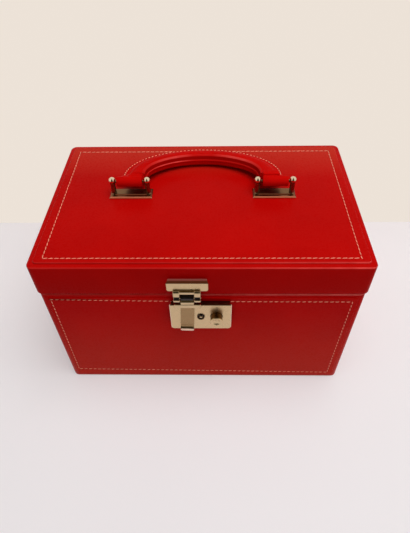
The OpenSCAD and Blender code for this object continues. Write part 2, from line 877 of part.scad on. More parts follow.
module hasp_pin() {
    w = ear_gap / 2 + ear_w + 0.2;
    color(gold) translate([hasp_x, hasp_y, hasp_z]) bar_x(hasp_pin_r, -w, w);
}

// Screws from inside the lid into the metal bar and the handle mounts
module lid_screws() {
    color(gold) {
        bar_screw_places() {
            bar_y(screw_r - 0.1, lid_front - 3, -lid_in_d / 2 - screw_head_t + run);
            bar_y(screw_head_r, -lid_in_d / 2 - screw_head_t, -lid_in_d / 2);
        }
        mount_screw_places() {
            translate([0, 0, lid_ceiling + run]) cylinder(r = screw_r - 0.1, h = mount_top - lid_ceiling - 0.6);
            translate([0, 0, lid_ceiling]) cylinder(r = screw_head_r, h = screw_head_t);
        }
    }
}

// A base plate with bevelled edges, cut from two crossing prisms
module bevelled_plate(w, d, t, bevel) {
    intersection() {
        front_plate(-d / 2, d)
            polygon([[-w / 2, 0], [w / 2, 0], [w / 2, t - bevel], [w / 2 - bevel, t],
                [-w / 2 + bevel, t], [-w / 2, t - bevel]]);
        side_plate(-w / 2, w)
            polygon([[-d / 2, 0], [d / 2, 0], [d / 2, t - bevel], [d / 2 - bevel, t],
                [-d / 2 + bevel, t], [-d / 2, t - bevel]]);
    }
}

// A handle mount: base plate, raised web, and two posts that end in balls
module handle_mount(side) {
    web_w = post_gap - 2 * post_r;
    color(gold) translate([side * mount_offset, pivot_y, case_h]) difference() {
        union() {
            bevelled_plate(mount_w, mount_d, mount_t, mount_bevel);
            block([-web_w / 2 - over, -mount_d / 4, mount_t - run], [web_w / 2 + over, mount_d / 4, mount_t + web_t]);
            for (s = [-1, 1]) translate([s * post_gap / 2, 0, 0]) {
                translate([0, 0, mount_t - run]) cylinder(r = post_r, h = pivot_up + ball_up - mount_t);
                translate([0, 0, pivot_up + ball_up]) sphere(ball_r);
            }
        }
        translate([0, 0, pivot_up]) bar_x(pivot_bar_r + 0.02, -mount_w, mount_w);
        for (s = [-1, 1]) translate([s * post_gap / 4, 0, -over]) cylinder(r = screw_r - 0.1, h = mount_t + over - 0.4);
    }
}

module left_handle_mount() { handle_mount(-1); }
module right_handle_mount() { handle_mount(1); }

module handle_bars() {
    w = post_gap / 2 + post_r;
    for (side = [-1, 1]) {
        color(gold) translate([side * mount_offset, pivot_y, pivot_z]) bar_x(pivot_bar_r, -w, w);
    }
}

// Places the handle, drawn flat with its pivot on the X axis, as it lies back on the lid
module handle_lie() {
    translate([0, pivot_y, pivot_z]) rotate([-handle_droop, 0, 0]) children();
}

// Section of the band: the padded roll on the inner side, to the left, and the stitched flange.
// Each list is the upper half, and the lower half is its mirror image.
function both_halves(top) =
    concat(top, [for (i = [len(top) - 1 : -1 : 0]) [top[i][0], -top[i][1]]]);

function band_section() =
    let (edge = band_w / 2, r = roll_t * 0.3, seam = roll_w - edge, side = roll_t / 2, thin = flange_t / 2)
    both_halves([
        [-edge, side - r], [r * 0.3 - edge, side - r * 0.3], [r - edge, side], [seam - r, side],
        [seam - r * 0.1, (side + thin) / 2 - r * 0.1], [seam + r * 0.45, thin],
        [edge - thin * 0.4, thin], [edge, thin * 0.6]
    ]);

function core_section(count) =
    both_halves([for (i = [0 : count]) [roll_middle + core_w * (i / count - 0.5), core_t / 2]]);

// Places a section on ring i of the arch: a leg, half an ellipse, and the other leg
function arch_ring(i, section) =
    let (
        leg = i == 0 || i == arch_steps + 2,
        angle = min(max(i - 1, 0), arch_steps) * 180 / arch_steps,
        out = [cos(angle) / arch_half, sin(angle) / arch_h],
        side = out / norm(out),
        middle = [arch_half * cos(angle), (leg ? leg_start : arch_foot) + arch_h * sin(angle)]
    )
    [for (p = section) [middle[0] + p[0] * side[0], middle[1] + p[0] * side[1], p[1]]];

function arch_points(section) = [for (i = [0 : arch_steps + 2], p = arch_ring(i, section)) p];

// The triangles between rings of n points, from point number base
function skin(n, base, inward) = [
    for (i = [0 : arch_steps + 1], k = [0 : n - 1])
        let (a = base + i * n + k, b = base + i * n + (k + 1) % n, c = b + n, d = a + n)
        each inward ? [[a, b, c], [a, c, d]] : [[a, c, b], [a, d, c]]
];

// The triangles that close the leather's two ends round the core
function end_ring(n, rings, i, flip) = [
    for (k = [0 : n - 1])
        let (a = i * n + k, b = i * n + (k + 1) % n, c = b + rings * n, d = a + rings * n)
        each flip ? [[a, c, b], [a, d, c]] : [[a, b, c], [a, c, d]]
];

module handle_grip() {
    outer = band_section();
    n = len(outer);
    rings = arch_steps + 3;
    color(leather_red) handle_lie() polyhedron(
        points = concat(arch_points(outer), arch_points(core_section(n / 2 - 1))),
        faces = concat(
            skin(n, 0, false), skin(n, rings * n, true),
            end_ring(n, rings, 0, false), end_ring(n, rings, rings - 1, true)
        )
    );
}

module handle_core() {
    last = 4 * (arch_steps + 2);
    color("silver") handle_lie() polyhedron(
        points = arch_points(core_section(1)),
        faces = concat(skin(4, 0, false), [[0, 1, 2, 3], [last + 3, last + 2, last + 1, last]])
    );
}

// Leather loops round the pivot bars, each with the tab that is sewn to the grip's leg
module handle_loops() {
    color(leather_red) handle_lie() for (side = [0, 1]) mirror([side, 0, 0])
        translate([mount_offset - loop_len / 2, 0, 0]) difference() {
            union() {
                bar_x(loop_r, 0, loop_len);
                block([0, 0, -loop_r * 0.8], [tab_half, leg_start, loop_r * 0.8]);
            }
            bar_x(pivot_bar_r + run, -over, loop_len + over);
        }
}

// Side outline of the curled finger lip, from the tongue's lower end
module lip_outline() {
    r = lip_r;
    t = tongue_t;
    steps = 6;
    outer = [for (i = [0 : steps]) [strap_front - r + r * cos(i * 12), lip_z - r * sin(i * 12)]];
    inner = [for (i = [steps : -1 : 0])
        [strap_front - r + (r + t) * cos(i * 12), lip_z - (r + t) * sin(i * 12)]];
    polygon(concat(outer, inner));
}

module hasp_strap() {
    s = shoulder_w / 2;
    w = tongue_w / 2;
    g = ear_gap / 2 - seat;
    color(gold) difference() {
        union() {
            translate([hasp_x, hasp_y, hasp_z]) bar_x(knuckle_r, -g, g);
            block([hasp_x - g, hasp_y - 1.8, shoulder_z1 - run], [hasp_x + g, hasp_y - 0.1, hasp_z]);
            block([hasp_x - g, strap_front - 0.2, shoulder_z1 - run], [hasp_x + g, hasp_y - 0.1, shoulder_z1 + 2.2]);
            block([hasp_x - s, strap_front - 0.5, shoulder_z0], [hasp_x + s, strap_back, shoulder_z1]);
            block([hasp_x - w, strap_front, lip_z], [hasp_x + w, strap_back, shoulder_z0 + run]);
            side_plate(hasp_x - w + 0.3, tongue_w - 0.6) lip_outline();
        }
        translate([hasp_x, hasp_y, hasp_z]) bar_x(hasp_pin_r + run, -lid_w, lid_w);
    }
}

// The staple on the strap's back, with the eye that the bolt enters
module hasp_staple() {
    w = staple_w / 2;
    color(gold) difference() {
        block([hasp_x - w, strap_back, staple_z0], [hasp_x + w, strap_back + staple_reach, staple_z1]);
        block([hasp_x - w - over, bolt_y0 - 0.3, bolt_z0 - 0.3],
            [hasp_x + w + over, strap_back + staple_reach - 0.8, bolt_z0 + bolt_h + 0.3]);
    }
}

// The push button, turned about its own axis: dished cap, neck, retaining flange and cone
module push_button() {
    cap_y = -button_out;
    flange_y = lock_plate_t + 0.05;
    cone_y0 = cone_y - plate_front;
    color(gold) translate([button_x, plate_front, key_z]) rotate([-90, 0, 0]) rotate_extrude() difference() {
        polygon([
            [0, cap_y], [button_cap_r - 0.4, cap_y], [button_cap_r, cap_y + 0.4],
            [button_cap_r, cap_y + cap_t - 0.5], [button_cap_r - 0.5, cap_y + cap_t],
            [button_neck_r, cap_y + cap_t], [button_neck_r, -1.5 * cap_t], [button_shank_r, -1.2 * cap_t],
            [button_shank_r, flange_y],
            [button_flange_r, flange_y], [button_flange_r, flange_y + button_flange_t],
            [cone_r, flange_y + button_flange_t], [cone_r, cone_y0], [cone_tip_r, cone_y0 + cone_len],
            [0, cone_y0 + cone_len]
        ]);
        translate([0, cap_y + dish_depth - dish_r]) circle(dish_r);
    }
}

// The bolt: a bar with a notch for the key cam, and a wedge that the button's cone pushes aside
module latch_bolt() {
    x_wedge = button_x + cone_r + wedge_gap;
    color(gold) difference() {
        union() {
            block([bolt_x0, bolt_y0, bolt_z0], [bolt_x1, bolt_y1, bolt_z0 + bolt_h]);
            block([bolt_x1 - yoke_w, cone_y, key_z - wedge_h / 2], [bolt_x1, bolt_y1, bolt_z0 + run]);
            translate([0, 0, key_z - wedge_h / 2]) linear_extrude(wedge_h)
                polygon([[x_wedge, cone_y], [bolt_x1, cone_y], [bolt_x1, bolt_y1],
                    [x_wedge - (bolt_y1 - cone_y), bolt_y1]]);
        }
        block([key_x - cam_arm_w / 2 - seat, bolt_y0 - over, bolt_z0 - over],
            [key_x - cam_arm_w / 2 - seat + notch_w, bolt_y1 + over, key_z + cam_reach + notch_spare]);
    }
}

// The key cam: a hub that fills the keyhole, a disc on the centre post, and the locking arm
module key_cam() {
    color(gold) translate([key_x, 0, key_z]) difference() {
        union() {
            bar_y(key_hub_r, plate_front + 0.3, cam_y + run);
            bar_y(cam_disc_r, cam_y, cam_y + cam_t);
            block([0, cam_y, -cam_arm_w / 2], [cam_reach, cam_y + cam_t, cam_arm_w / 2]);
        }
        bar_y(key_bore_r, plate_front - over, cam_y - 0.4);
        bar_y(key_post_r + run, plate_front - over, case_back);
        block([0, plate_front - over, -0.5], [key_hub_r + over, plate_front + 2.4, 0.5]);
    }
}

front_board();
back_board();
left_board();
right_board();
bottom_board();
body_wrap();
base_panel();
front_panel();
back_panel();
left_panel();
right_panel();
liner_front();
liner_back();
liner_left();
liner_right();
floor_pad();
lower_divider();
tray_ledges();
lock_plate();
lock_case();
lock_screws();
bolt_spring();
hinge_lower_leaves();
hinge_pins();
hinge_lower_screws();
tray_base();
tray_frame();
tray_dividers();
ring_rolls();
tray_pads();
tray_ribbons();
lid_front_board();
lid_back_board();
lid_left_board();
lid_right_board();
lid_top_board();
lid_wrap();
lid_top_panel();
lid_lining();
mirror_frame();
mirror_glass();
hinge_upper_leaves();
hinge_upper_screws();
hasp_bar();
hasp_bracket();
hasp_pin();
lid_screws();
left_handle_mount();
right_handle_mount();
handle_bars();
handle_grip();
handle_core();
handle_loops();
hasp_strap();
hasp_staple();
push_button();
latch_bolt();
key_cam();
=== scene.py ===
"""A red leather travel jewelry box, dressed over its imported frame.

Places, lengths and profiles are in millimetres, and MM takes them to the frame's metres.
"""
import json
import math
import random

import bpy
from mathutils import Matrix, Vector


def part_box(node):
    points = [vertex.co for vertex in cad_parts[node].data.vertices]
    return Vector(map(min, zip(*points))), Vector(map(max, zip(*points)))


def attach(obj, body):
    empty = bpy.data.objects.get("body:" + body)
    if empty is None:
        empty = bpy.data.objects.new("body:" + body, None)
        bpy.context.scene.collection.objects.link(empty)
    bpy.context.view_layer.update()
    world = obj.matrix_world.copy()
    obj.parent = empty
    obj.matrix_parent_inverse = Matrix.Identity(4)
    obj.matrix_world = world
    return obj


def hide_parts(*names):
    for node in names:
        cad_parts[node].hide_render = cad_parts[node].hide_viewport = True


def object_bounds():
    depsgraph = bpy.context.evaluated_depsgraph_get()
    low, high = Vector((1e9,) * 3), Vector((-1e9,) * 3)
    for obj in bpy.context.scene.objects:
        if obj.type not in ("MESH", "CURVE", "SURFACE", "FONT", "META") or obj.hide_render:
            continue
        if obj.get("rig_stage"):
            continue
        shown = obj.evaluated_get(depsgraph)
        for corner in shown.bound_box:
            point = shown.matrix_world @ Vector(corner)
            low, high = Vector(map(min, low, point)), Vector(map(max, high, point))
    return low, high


MM = 0.001
X, Y, Z = 0, 1, 2
RIGHT, BACK, UP, FRONT = (1, 0, 0), (0, 1, 0), (0, 0, 1), (0, -1, 0)
NEAR = 0.01  # how far off a level, or off square to an axis, an edge may be
STRAIGHT = 0.99  # how much of a direction points along its axis
SHARP = 35  # degrees from which an edge counts as a sharp one
SAME_FACE = 0.5  # degrees up to which a frame part's triangles are one face
MERGE = 1e-6  # metres within which two points of a piece are one
FRAME_MERGE = 2e-6  # the same in a copy of a frame part

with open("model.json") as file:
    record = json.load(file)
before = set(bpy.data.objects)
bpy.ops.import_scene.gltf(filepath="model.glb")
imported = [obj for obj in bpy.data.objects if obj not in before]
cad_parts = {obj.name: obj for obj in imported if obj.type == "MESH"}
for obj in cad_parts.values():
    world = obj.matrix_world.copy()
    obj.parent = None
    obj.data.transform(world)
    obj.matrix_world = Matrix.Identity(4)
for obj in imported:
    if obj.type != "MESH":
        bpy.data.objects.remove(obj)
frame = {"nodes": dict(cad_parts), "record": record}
cad_low, cad_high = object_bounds()
bpy.ops.object.select_all(action="DESELECT")
random.seed(11)
nodes = frame["nodes"]
bodies = frame["record"]["behaviour"]["bodies"]
body_for = {node: body for body, members in bodies.items() for node in members}


# ---------------------------------------------------------------- handling a piece

def leave():
    bpy.ops.object.mode_set(mode="OBJECT")


def pick(piece):
    bpy.ops.object.select_all(action="DESELECT")
    piece.select_set(True)
    bpy.context.view_layer.objects.active = piece


def open_whole(kind=None):
    """Opens the active piece with all of it picked."""
    bpy.ops.object.mode_set(mode="EDIT")
    if kind:
        bpy.ops.mesh.select_mode(type=kind)
    bpy.ops.mesh.select_all(action="SELECT")


def settle(piece):
    """Takes a piece's place, turn and size into its mesh."""
    pick(piece)
    bpy.ops.object.transform_apply(location=True, rotation=True, scale=True)


def twin(piece):
    """A copy of a piece with a mesh of its own."""
    copy = piece.copy()
    copy.data = piece.data.copy()
    bpy.context.scene.collection.objects.link(copy)
    return copy


def choose(piece, kind, test):
    """Opens a piece with only the faces or edges picked that pass a test.

    The test gets m, the middle, and n, a face's normal, or w, the way that an edge runs.
    """
    pick(piece)
    bpy.ops.object.mode_set(mode="EDIT")
    bpy.ops.mesh.select_mode(type=kind)
    bpy.ops.mesh.select_all(action="DESELECT")
    leave()
    mesh = piece.data
    if kind == "FACE":
        for face in mesh.polygons:
            face.select = test(face.center / MM, face.normal)
    else:
        for edge in mesh.edges:
            a, b = (mesh.vertices[i].co for i in edge.vertices)
            edge.select = test((a + b) / 2 / MM, (b - a).normalized())
    bpy.ops.object.mode_set(mode="EDIT")


def running(axis):
    """Passes the edges that run along an axis."""
    return lambda m, w: abs(w[axis]) > STRAIGHT


def rim_at(axis, level):
    """Passes the edges that go round a piece at one level of an axis."""
    return lambda m, w: abs(m[axis] - level) < NEAR and abs(w[axis]) < NEAR


def flat_at(axis, level):
    """Passes the faces that lie flat at one level of an axis."""
    return lambda m, n: abs(m[axis] - level) < NEAR and abs(n[axis]) > STRAIGHT


def soften(piece, width, segments, test):
    """Rounds the edges that pass the test."""
    choose(piece, "EDGE", test)
    bpy.ops.mesh.bevel(offset=width * MM, segments=segments, affect="EDGES", profile=0.5)
    leave()


def settle_modifier(piece, kind, **values):
    pick(piece)
    added = piece.modifiers.new(kind.lower(), kind)
    for key, value in values.items():
        setattr(added, key, value)
    bpy.ops.object.modifier_apply(modifier=added.name)


def round_off(piece, width, segments, angle):
    """Rounds all edges that are sharper than an angle."""
    settle_modifier(piece, "BEVEL", width=width * MM, segments=segments,
                    limit_method="ANGLE", angle_limit=math.radians(angle))


def shade(piece, angle=SHARP, even=False):
    """Smooth shading. Even keeps flat faces flat up to their rounded edges."""
    pick(piece)
    bpy.ops.object.shade_smooth_by_angle(angle=math.radians(angle))
    if even:
        settle_modifier(piece, "WEIGHTED_NORMAL", weight=90, keep_sharp=True)


def outward(piece):
    """Makes one closed skin of a piece, with its faces turned out."""
    pick(piece)
    open_whole()
    bpy.ops.mesh.remove_doubles(threshold=MERGE)
    bpy.ops.mesh.normals_make_consistent(inside=False)
    leave()


# ---------------------------------------------------------------- starting a piece

def corners(node):
    """The low and the high corner of a frame part."""
    low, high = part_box(node)
    return low / MM, high / MM


def block(name, low, high):
    """A block between two corners."""
    middle = [(a + b) / 2 * MM for a, b in zip(low, high)]
    bpy.ops.mesh.primitive_cube_add(size=1, location=middle)
    piece = bpy.context.object
    piece.name = name
    piece.scale = [(b - a) * MM for a, b in zip(low, high)]
    settle(piece)
    return piece


def closed(points):
    return [*points, points[0]]


def wire(name, points):
    """A line of points, drawn by extruding one vertex."""
    bpy.ops.mesh.primitive_plane_add(size=MM, location=(0, 0, 0))
    piece = bpy.context.object
    piece.name = name
    open_whole("VERT")
    bpy.ops.mesh.merge(type="CENTER")
    bpy.ops.transform.translate(value=Vector(points[0]) * MM)
    for here, there in zip(points, points[1:]):
        step = (Vector(there) - Vector(here)) * MM
        bpy.ops.mesh.extrude_region_move(TRANSFORM_OT_translate={"value": step})
    leave()
    return piece


def turned(name, profile, place, axis, steps=40):
    """Turns a profile of (radius, height) about an axis through a place."""
    axis = Vector(axis)
    side = axis.orthogonal().normalized()
    piece = wire(name, [Vector(place) + side * r + axis * h for r, h in profile])
    open_whole()
    bpy.ops.mesh.spin(steps=steps, angle=2 * math.pi, center=Vector(place) * MM, axis=axis)
    leave()
    outward(piece)
    shade(piece)
    return piece


def pressed(name, outline, push):
    """Fills a closed outline and pushes it out into a solid."""
    piece = wire(name, outline)
    open_whole()
    bpy.ops.mesh.edge_face_add()
    bpy.ops.mesh.extrude_region_move(TRANSFORM_OT_translate={"value": Vector(push) * MM})
    leave()
    outward(piece)
    return piece


def joined(name, parts):
    pick(parts[0])
    for part in parts[1:]:
        part.select_set(True)
    bpy.ops.object.join()
    parts[0].name = name
    return parts[0]


# ---------------------------------------------------------------- finishing a piece

def done(piece, finish, slot, body, *stands_for):
    """Gives a piece its finish, its body and the frame parts that it stands for; the slot is not
    used.
    """
    piece.data.materials.clear()
    piece.data.materials.append(finish)
    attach(piece, body)
    if stands_for:
        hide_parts(*stands_for)
    return piece


def part_finish(piece, finish, test):
    """Another finish on the faces that pass the test."""
    piece.data.materials.append(finish)
    for face in piece.data.polygons:
        if test(face.center / MM, face.normal):
            face.material_index = len(piece.data.materials) - 1


def dressed(node, width, finish, slot, segments=2):
    """A copy of a frame part, with its edges rounded where a width is given."""
    piece = twin(nodes[node])
    for key in [k for k in piece.keys() if k.startswith("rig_")]:
        del piece[key]
    piece.parent = None
    piece.name = node + "_finished"
    pick(piece)
    open_whole()
    bpy.ops.mesh.remove_doubles(threshold=FRAME_MERGE)
    if width:
        bpy.ops.mesh.dissolve_limited(angle_limit=math.radians(SAME_FACE))
    leave()
    if width:
        round_off(piece, width, segments, SHARP)
    shade(piece)
    return done(piece, finish, slot, body_for[node], node)


# ---------------------------------------------------------------- making a finish

def start_finish(name):
    finish = bpy.data.materials.new(name)
    finish.use_nodes = True
    tree = finish.node_tree
    place = tree.nodes.new("ShaderNodeTexCoord").outputs["Object"]
    return finish, tree, tree.nodes["Principled BSDF"], place


def feed(tree, node, inputs):
    """Sets a node's inputs, or links those that are given as another node's output."""
    for key, value in inputs.items():
        if isinstance(value, bpy.types.NodeSocket):
            tree.links.new(value, node.inputs[key])
        else:
            node.inputs[key].default_value = value


def add(tree, kind, inputs=None, **values):
    node = tree.nodes.new(kind)
    for key, value in values.items():
        setattr(node, key, value)
    feed(tree, node, inputs or {})
    return node


def noise(tree, place, scale, detail, rough=0.5, swirl=0.0):
    return add(tree, "ShaderNodeTexNoise", {
        "Vector": place, "Scale": scale, "Detail": detail, "Roughness": rough,
        "Distortion": swirl}).outputs["Fac"]


def spread(tree, value, low=0.3, high=0.7, new_low=0.0, new_high=1.0):
    """Takes a range to another one. A noise mostly keeps between 0.3 and 0.7."""
    return add(tree, "ShaderNodeMapRange", {
        "Value": value, "From Min": low, "From Max": high, "To Min": new_low,
        "To Max": new_high}).outputs["Result"]


def reckon(tree, operation, *terms):
    return add(tree, "ShaderNodeMath", dict(enumerate(terms)), operation=operation).outputs[0]


def part_of(tree, place, axis):
    return add(tree, "ShaderNodeSeparateXYZ", {"Vector": place}).outputs[axis]


def stretched(tree, place, scale):
    return add(tree, "ShaderNodeMapping", {"Vector": place, "Scale": scale}).outputs["Vector"]


COLOUR_A, COLOUR_B, COLOUR_OUT = 6, 7, 2  # the Mix node's sockets for colours


def blended(tree, factor, first, second):
    """A colour between two, each of them written out or another node's output."""
    first, second = (c if isinstance(c, bpy.types.NodeSocket) else (*c, 1)
                     for c in (first, second))
    return add(tree, "ShaderNodeMix", {"Factor": factor, COLOUR_A: first, COLOUR_B: second},
               data_type="RGBA").outputs[COLOUR_OUT]


def times(colour, by):
    return [min(1, c * by) for c in colour]


def bumped(tree, height, strength, depth):
    return add(tree, "ShaderNodeBump", {
        "Height": height, "Strength": strength, "Distance": depth * MM}).outputs["Normal"]


def leather_finish(name, deep, bright, rough=0.28, grain=1.0, shine=0.027, painted_haze=None):
    """Grained leather. The optional painted haze is a colour, an axis and the two places between
    which it comes in: painted light that pales the leather along that axis.
    """
    finish, tree, shader, place = start_finish(name)
    cloud = noise(tree, place, scale=22, detail=4, rough=0.55)
    crease = noise(tree, place, scale=700, detail=6, rough=0.6)
    pores = add(tree, "ShaderNodeTexVoronoi", {"Vector": place, "Scale": 1500, "Randomness": 1.0})
    colour = blended(tree, spread(tree, cloud), deep, bright)
    # painted light: the leather pales toward a colour along one axis
    if painted_haze:
        towards, axis, start, end = painted_haze
        share = spread(tree, part_of(tree, place, axis), start * MM, end * MM)
        colour = blended(tree, share, colour, towards)
    height = reckon(tree, "MULTIPLY_ADD", pores.outputs["Distance"], 0.5, crease)
    feed(tree, shader, {
        "Base Color": colour,
        "Roughness": spread(tree, crease, new_low=rough - 0.05, new_high=rough + 0.06),
        "Normal": bumped(tree, height, strength=0.22 * grain, depth=0.08),
        "Specular IOR Level": shine})
    return finish


def painted_highlight_finish(name, deep, bright, spot=None, both=False, shine=0.12):
    """Leather with a painted highlight, stronger to the right, or round a spot along x, or on both
    sides.
    """
    finish, tree, shader, place = start_finish(name)
    across = part_of(tree, place, "X")
    patches = noise(tree, place, scale=90, detail=3)
    if spot:
        if both:
            across = reckon(tree, "ABSOLUTE", across)
        gap = reckon(tree, "ABSOLUTE", reckon(tree, "SUBTRACT", across, spot * MM))
        highlight_share = spread(tree, gap, 4 * MM, 19 * MM, new_low=0.95, new_high=0.08)
    else:
        highlight_share = spread(tree, across, -30 * MM, 120 * MM, new_low=0.15, new_high=0.95)
    highlight_share = reckon(tree, "MULTIPLY", highlight_share, spread(tree, patches, new_low=0.55, new_high=1.2))
    feed(tree, shader, {
        "Base Color": blended(tree, highlight_share, deep, bright),
        "Roughness": 0.25,
        "Normal": bumped(tree, patches, strength=0.2, depth=0.06),
        "Specular IOR Level": shine})
    return finish


def thread_finish(name, colour):
    finish, tree, shader, place = start_finish(name)
    ply = noise(tree, place, scale=900, detail=3)
    feed(tree, shader, {
        "Base Color": blended(tree, spread(tree, ply, 0.35, 0.65), times(colour, 0.75), colour),
        "Roughness": 0.75,
        "Normal": bumped(tree, ply, strength=0.4, depth=0.1)})
    return finish


def metal_finish(name, colour, rough, brushed=0.0, bare=1.0):
    """Hazy metal, with fine lines along x where it is brushed. Bare is its share of pure metal."""
    finish, tree, shader, place = start_finish(name)
    haze = noise(tree, place, scale=260, detail=4, rough=0.6)
    feed(tree, shader, {
        "Base Color": blended(tree, spread(tree, haze), times(colour, 0.9), colour),
        "Roughness": spread(tree, haze, new_low=rough * 0.8, new_high=rough * 1.25),
        "Metallic": bare})
    if brushed:
        lines = noise(tree, stretched(tree, place, (60, 900, 900)), scale=3, detail=2)
        feed(tree, shader, {"Normal": bumped(tree, lines, strength=brushed, depth=0.04)})
    return finish


def reflection_ramp_finish(name, front, back, front_y, back_y):
    """Metal with a painted reflection, that goes from one tone at its front to another at its back.
    """
    finish, tree, shader, place = start_finish(name)
    share = spread(tree, part_of(tree, place, "Y"), front_y * MM, back_y * MM)
    haze = noise(tree, place, scale=260, detail=4)
    feed(tree, shader, {
        "Base Color": blended(tree, share, front, back),
        "Roughness": spread(tree, haze, new_low=0.35, new_high=0.5),
        "Metallic": 0.5})
    return finish


def suede_finish(name, colour):
    finish, tree, shader, place = start_finish(name)
    nap = spread(tree, noise(tree, place, scale=60, detail=5, rough=0.65), 0.35, 0.65)
    fuzz = noise(tree, place, scale=1800, detail=3)
    feed(tree, shader, {
        "Base Color": blended(tree, nap, times(colour, 0.72), times(colour, 1.18)),
        "Roughness": 0.95,
        "Normal": bumped(tree, fuzz, strength=0.45, depth=0.15),
        "Sheen Weight": 0.5,
        "Sheen Roughness": 0.4,
        "Sheen Tint": (1.0, 0.55, 0.5, 1)})
    return finish


def wood_finish(name, pale, dark):
    finish, tree, shader, place = start_finish(name)
    rings = noise(tree, stretched(tree, place, (12, 120, 120)), scale=2, detail=6, rough=0.6,
                  swirl=0.4)
    feed(tree, shader, {
        "Base Color": blended(tree, spread(tree, rings, 0.35, 0.65), pale, dark),
        "Roughness": 0.6,
        "Normal": bumped(tree, rings, strength=0.2, depth=0.2)})
    return finish


def mirror_finish(name):
    finish, tree, shader, place = start_finish(name)
    smear = noise(tree, place, scale=40, detail=3)
    feed(tree, shader, {
        "Base Color": (0.86, 0.88, 0.88, 1),
        "Roughness": spread(tree, smear, 0.3, 0.8, new_low=0.01, new_high=0.04),
        "Metallic": 1.0})
    return finish


# ---------------------------------------------------------------- the finishes

RED, BRIGHT_RED = (0.43, 0.0014, 0.0009), (0.49, 0.0022, 0.0014)
red_leather = leather_finish("red_leather", RED, BRIGHT_RED)
# painted reflection: the lid's top pales toward its back, where it mirrors the backdrop
lid_top_leather = leather_finish("lid_top_leather", RED, BRIGHT_RED,
                                 painted_haze=((0.48, 0.023, 0.012), "Y", 25, 70))
# painted light: the case's leather pales toward the bottom, as light thrown up from the floor
case_leather = leather_finish("case_leather", RED, BRIGHT_RED, shine=0.018,
                              painted_haze=((0.51, 0.025, 0.014), "Z", 98, -4))
# painted shade: a darker copy of the red leather for the lid's sides, which the lamp above lights
# less
lid_side_shade_leather = leather_finish("lid_side_shade_leather", (0.375, 0.001, 0.0006),
                                  (0.425, 0.0018, 0.001), shine=0.012)
handle_leather = leather_finish("handle_leather", (0.47, 0.002, 0.0012), (0.55, 0.003, 0.002),
                                rough=0.36, grain=0.7, shine=0.004)
# painted shade: a darker leather for the grip's inner side under its ridge
inner_shade_leather = leather_finish("inner_shade_leather", (0.30, 0.0012, 0.0008), (0.36, 0.002, 0.0012),
                               rough=0.36, grain=0.7, shine=0.004)
# painted highlights: paler leather where rounded edges, the case's rim and the grip's ridge and
# shoulder catch the light
edge_highlight_leather = painted_highlight_finish("edge_highlight_leather", (0.47, 0.004, 0.003), (0.74, 0.06, 0.052))
rim_highlight_leather = painted_highlight_finish("rim_highlight_leather", (0.47, 0.004, 0.003), (1.0, 0.2, 0.18))
ridge_highlight_leather = painted_highlight_finish("ridge_highlight_leather", (0.48, 0.003, 0.002), (0.82, 0.08, 0.07),
                            spot=-26, shine=0.015)
shoulder_leather = painted_highlight_finish("shoulder_leather", (0.50, 0.003, 0.002), (0.66, 0.052, 0.044),
                               spot=27, both=True, shine=0.015)
peach_thread = thread_finish("peach_thread", (1.0, 0.40, 0.27))

pale_gold = metal_finish("pale_gold", (0.62, 0.46, 0.27), rough=0.13)
satin_gold = metal_finish("satin_gold", (0.66, 0.49, 0.28), rough=0.3, brushed=0.25)
# painted reflection: a darker gold for the hasp's tongue, which mirrors darker things than the
# plate
tongue_shade_gold = metal_finish("tongue_shade_gold", (0.36, 0.23, 0.11), rough=0.3, brushed=0.3)
shaded_gold = metal_finish("shaded_gold", (0.14, 0.075, 0.04), rough=0.35)
# painted light: a lighter, warmer gold for the keyhole collar's lower faces that face up
collar_lit_gold = metal_finish("collar_lit_gold", (0.46, 0.25, 0.15), rough=0.42)
# painted reflection: a dark brown gold for the push button's side
button_side_shade_gold = metal_finish("button_side_shade_gold", (0.15, 0.075, 0.03), rough=0.2)
# painted reflection: a dark red-brown gold for the mounts' feet, where they mirror the red lid
foot_top_reflection_gold = metal_finish("foot_top_reflection_gold", (0.24, 0.10, 0.05), rough=0.22)
# painted shade: a darker gold for the mounts' webs under the loops
web_shade_gold = metal_finish("web_shade_gold", (0.22, 0.125, 0.06), rough=0.33)
# painted shade: a darker gold for the posts' shafts and the bars
post_and_bar_shade_gold = metal_finish("post_and_bar_shade_gold", (0.27, 0.17, 0.10), rough=0.28)
# painted highlight: a brighter gold for the balls
ball_highlight_gold = metal_finish("ball_highlight_gold", (0.84, 0.72, 0.53), rough=0.1)
# painted highlight: a pale gold for bevels and corners that catch the light
edge_highlight_gold = metal_finish("edge_highlight_gold", (1.0, 0.84, 0.67), rough=0.5)
# painted highlight: a pale gold for the end of the tongue's lip
lip_highlight_gold = metal_finish("lip_highlight_gold", (1.0, 0.68, 0.53), rough=0.45, bare=0.4)
# painted reflection: a red gold for front bevels that mirror the red lid
red_reflection_gold = metal_finish("red_reflection_edge", (0.58, 0.19, 0.09), rough=0.45, bare=0.35)
# dark steel for the hasp's knuckle and the key's hub, and painted shade in the keyhole collar and
# the ears' grooves
dark_steel_and_shade = metal_finish("dark_steel_and_shade", (0.06, 0.05, 0.05), rough=0.3)
steel = metal_finish("spring_steel", (0.55, 0.54, 0.52), rough=0.32, brushed=0.3)

suede = suede_finish("suede", (0.20, 0.018, 0.02))
wood = wood_finish("poplar", (0.52, 0.36, 0.20), (0.36, 0.22, 0.11))
silvered = mirror_finish("silvered_glass")


# ---------------------------------------------------------------- camera

# in metres and degrees, as fitted to the case's edges in the view
camera = bpy.data.objects.new("camera", bpy.data.cameras.new("camera"))
bpy.context.scene.collection.objects.link(camera)
camera.location = (0.009438, -0.285307, 0.370948)
camera.rotation_euler = [math.radians(a) for a in (43.12048, 0.88856, 0.79528)]
camera.data.lens = 30.209
camera.data.sensor_width = 36
camera.data.clip_start = 0.01
bpy.context.scene.camera = camera


# ---------------------------------------------------------------- leather shells

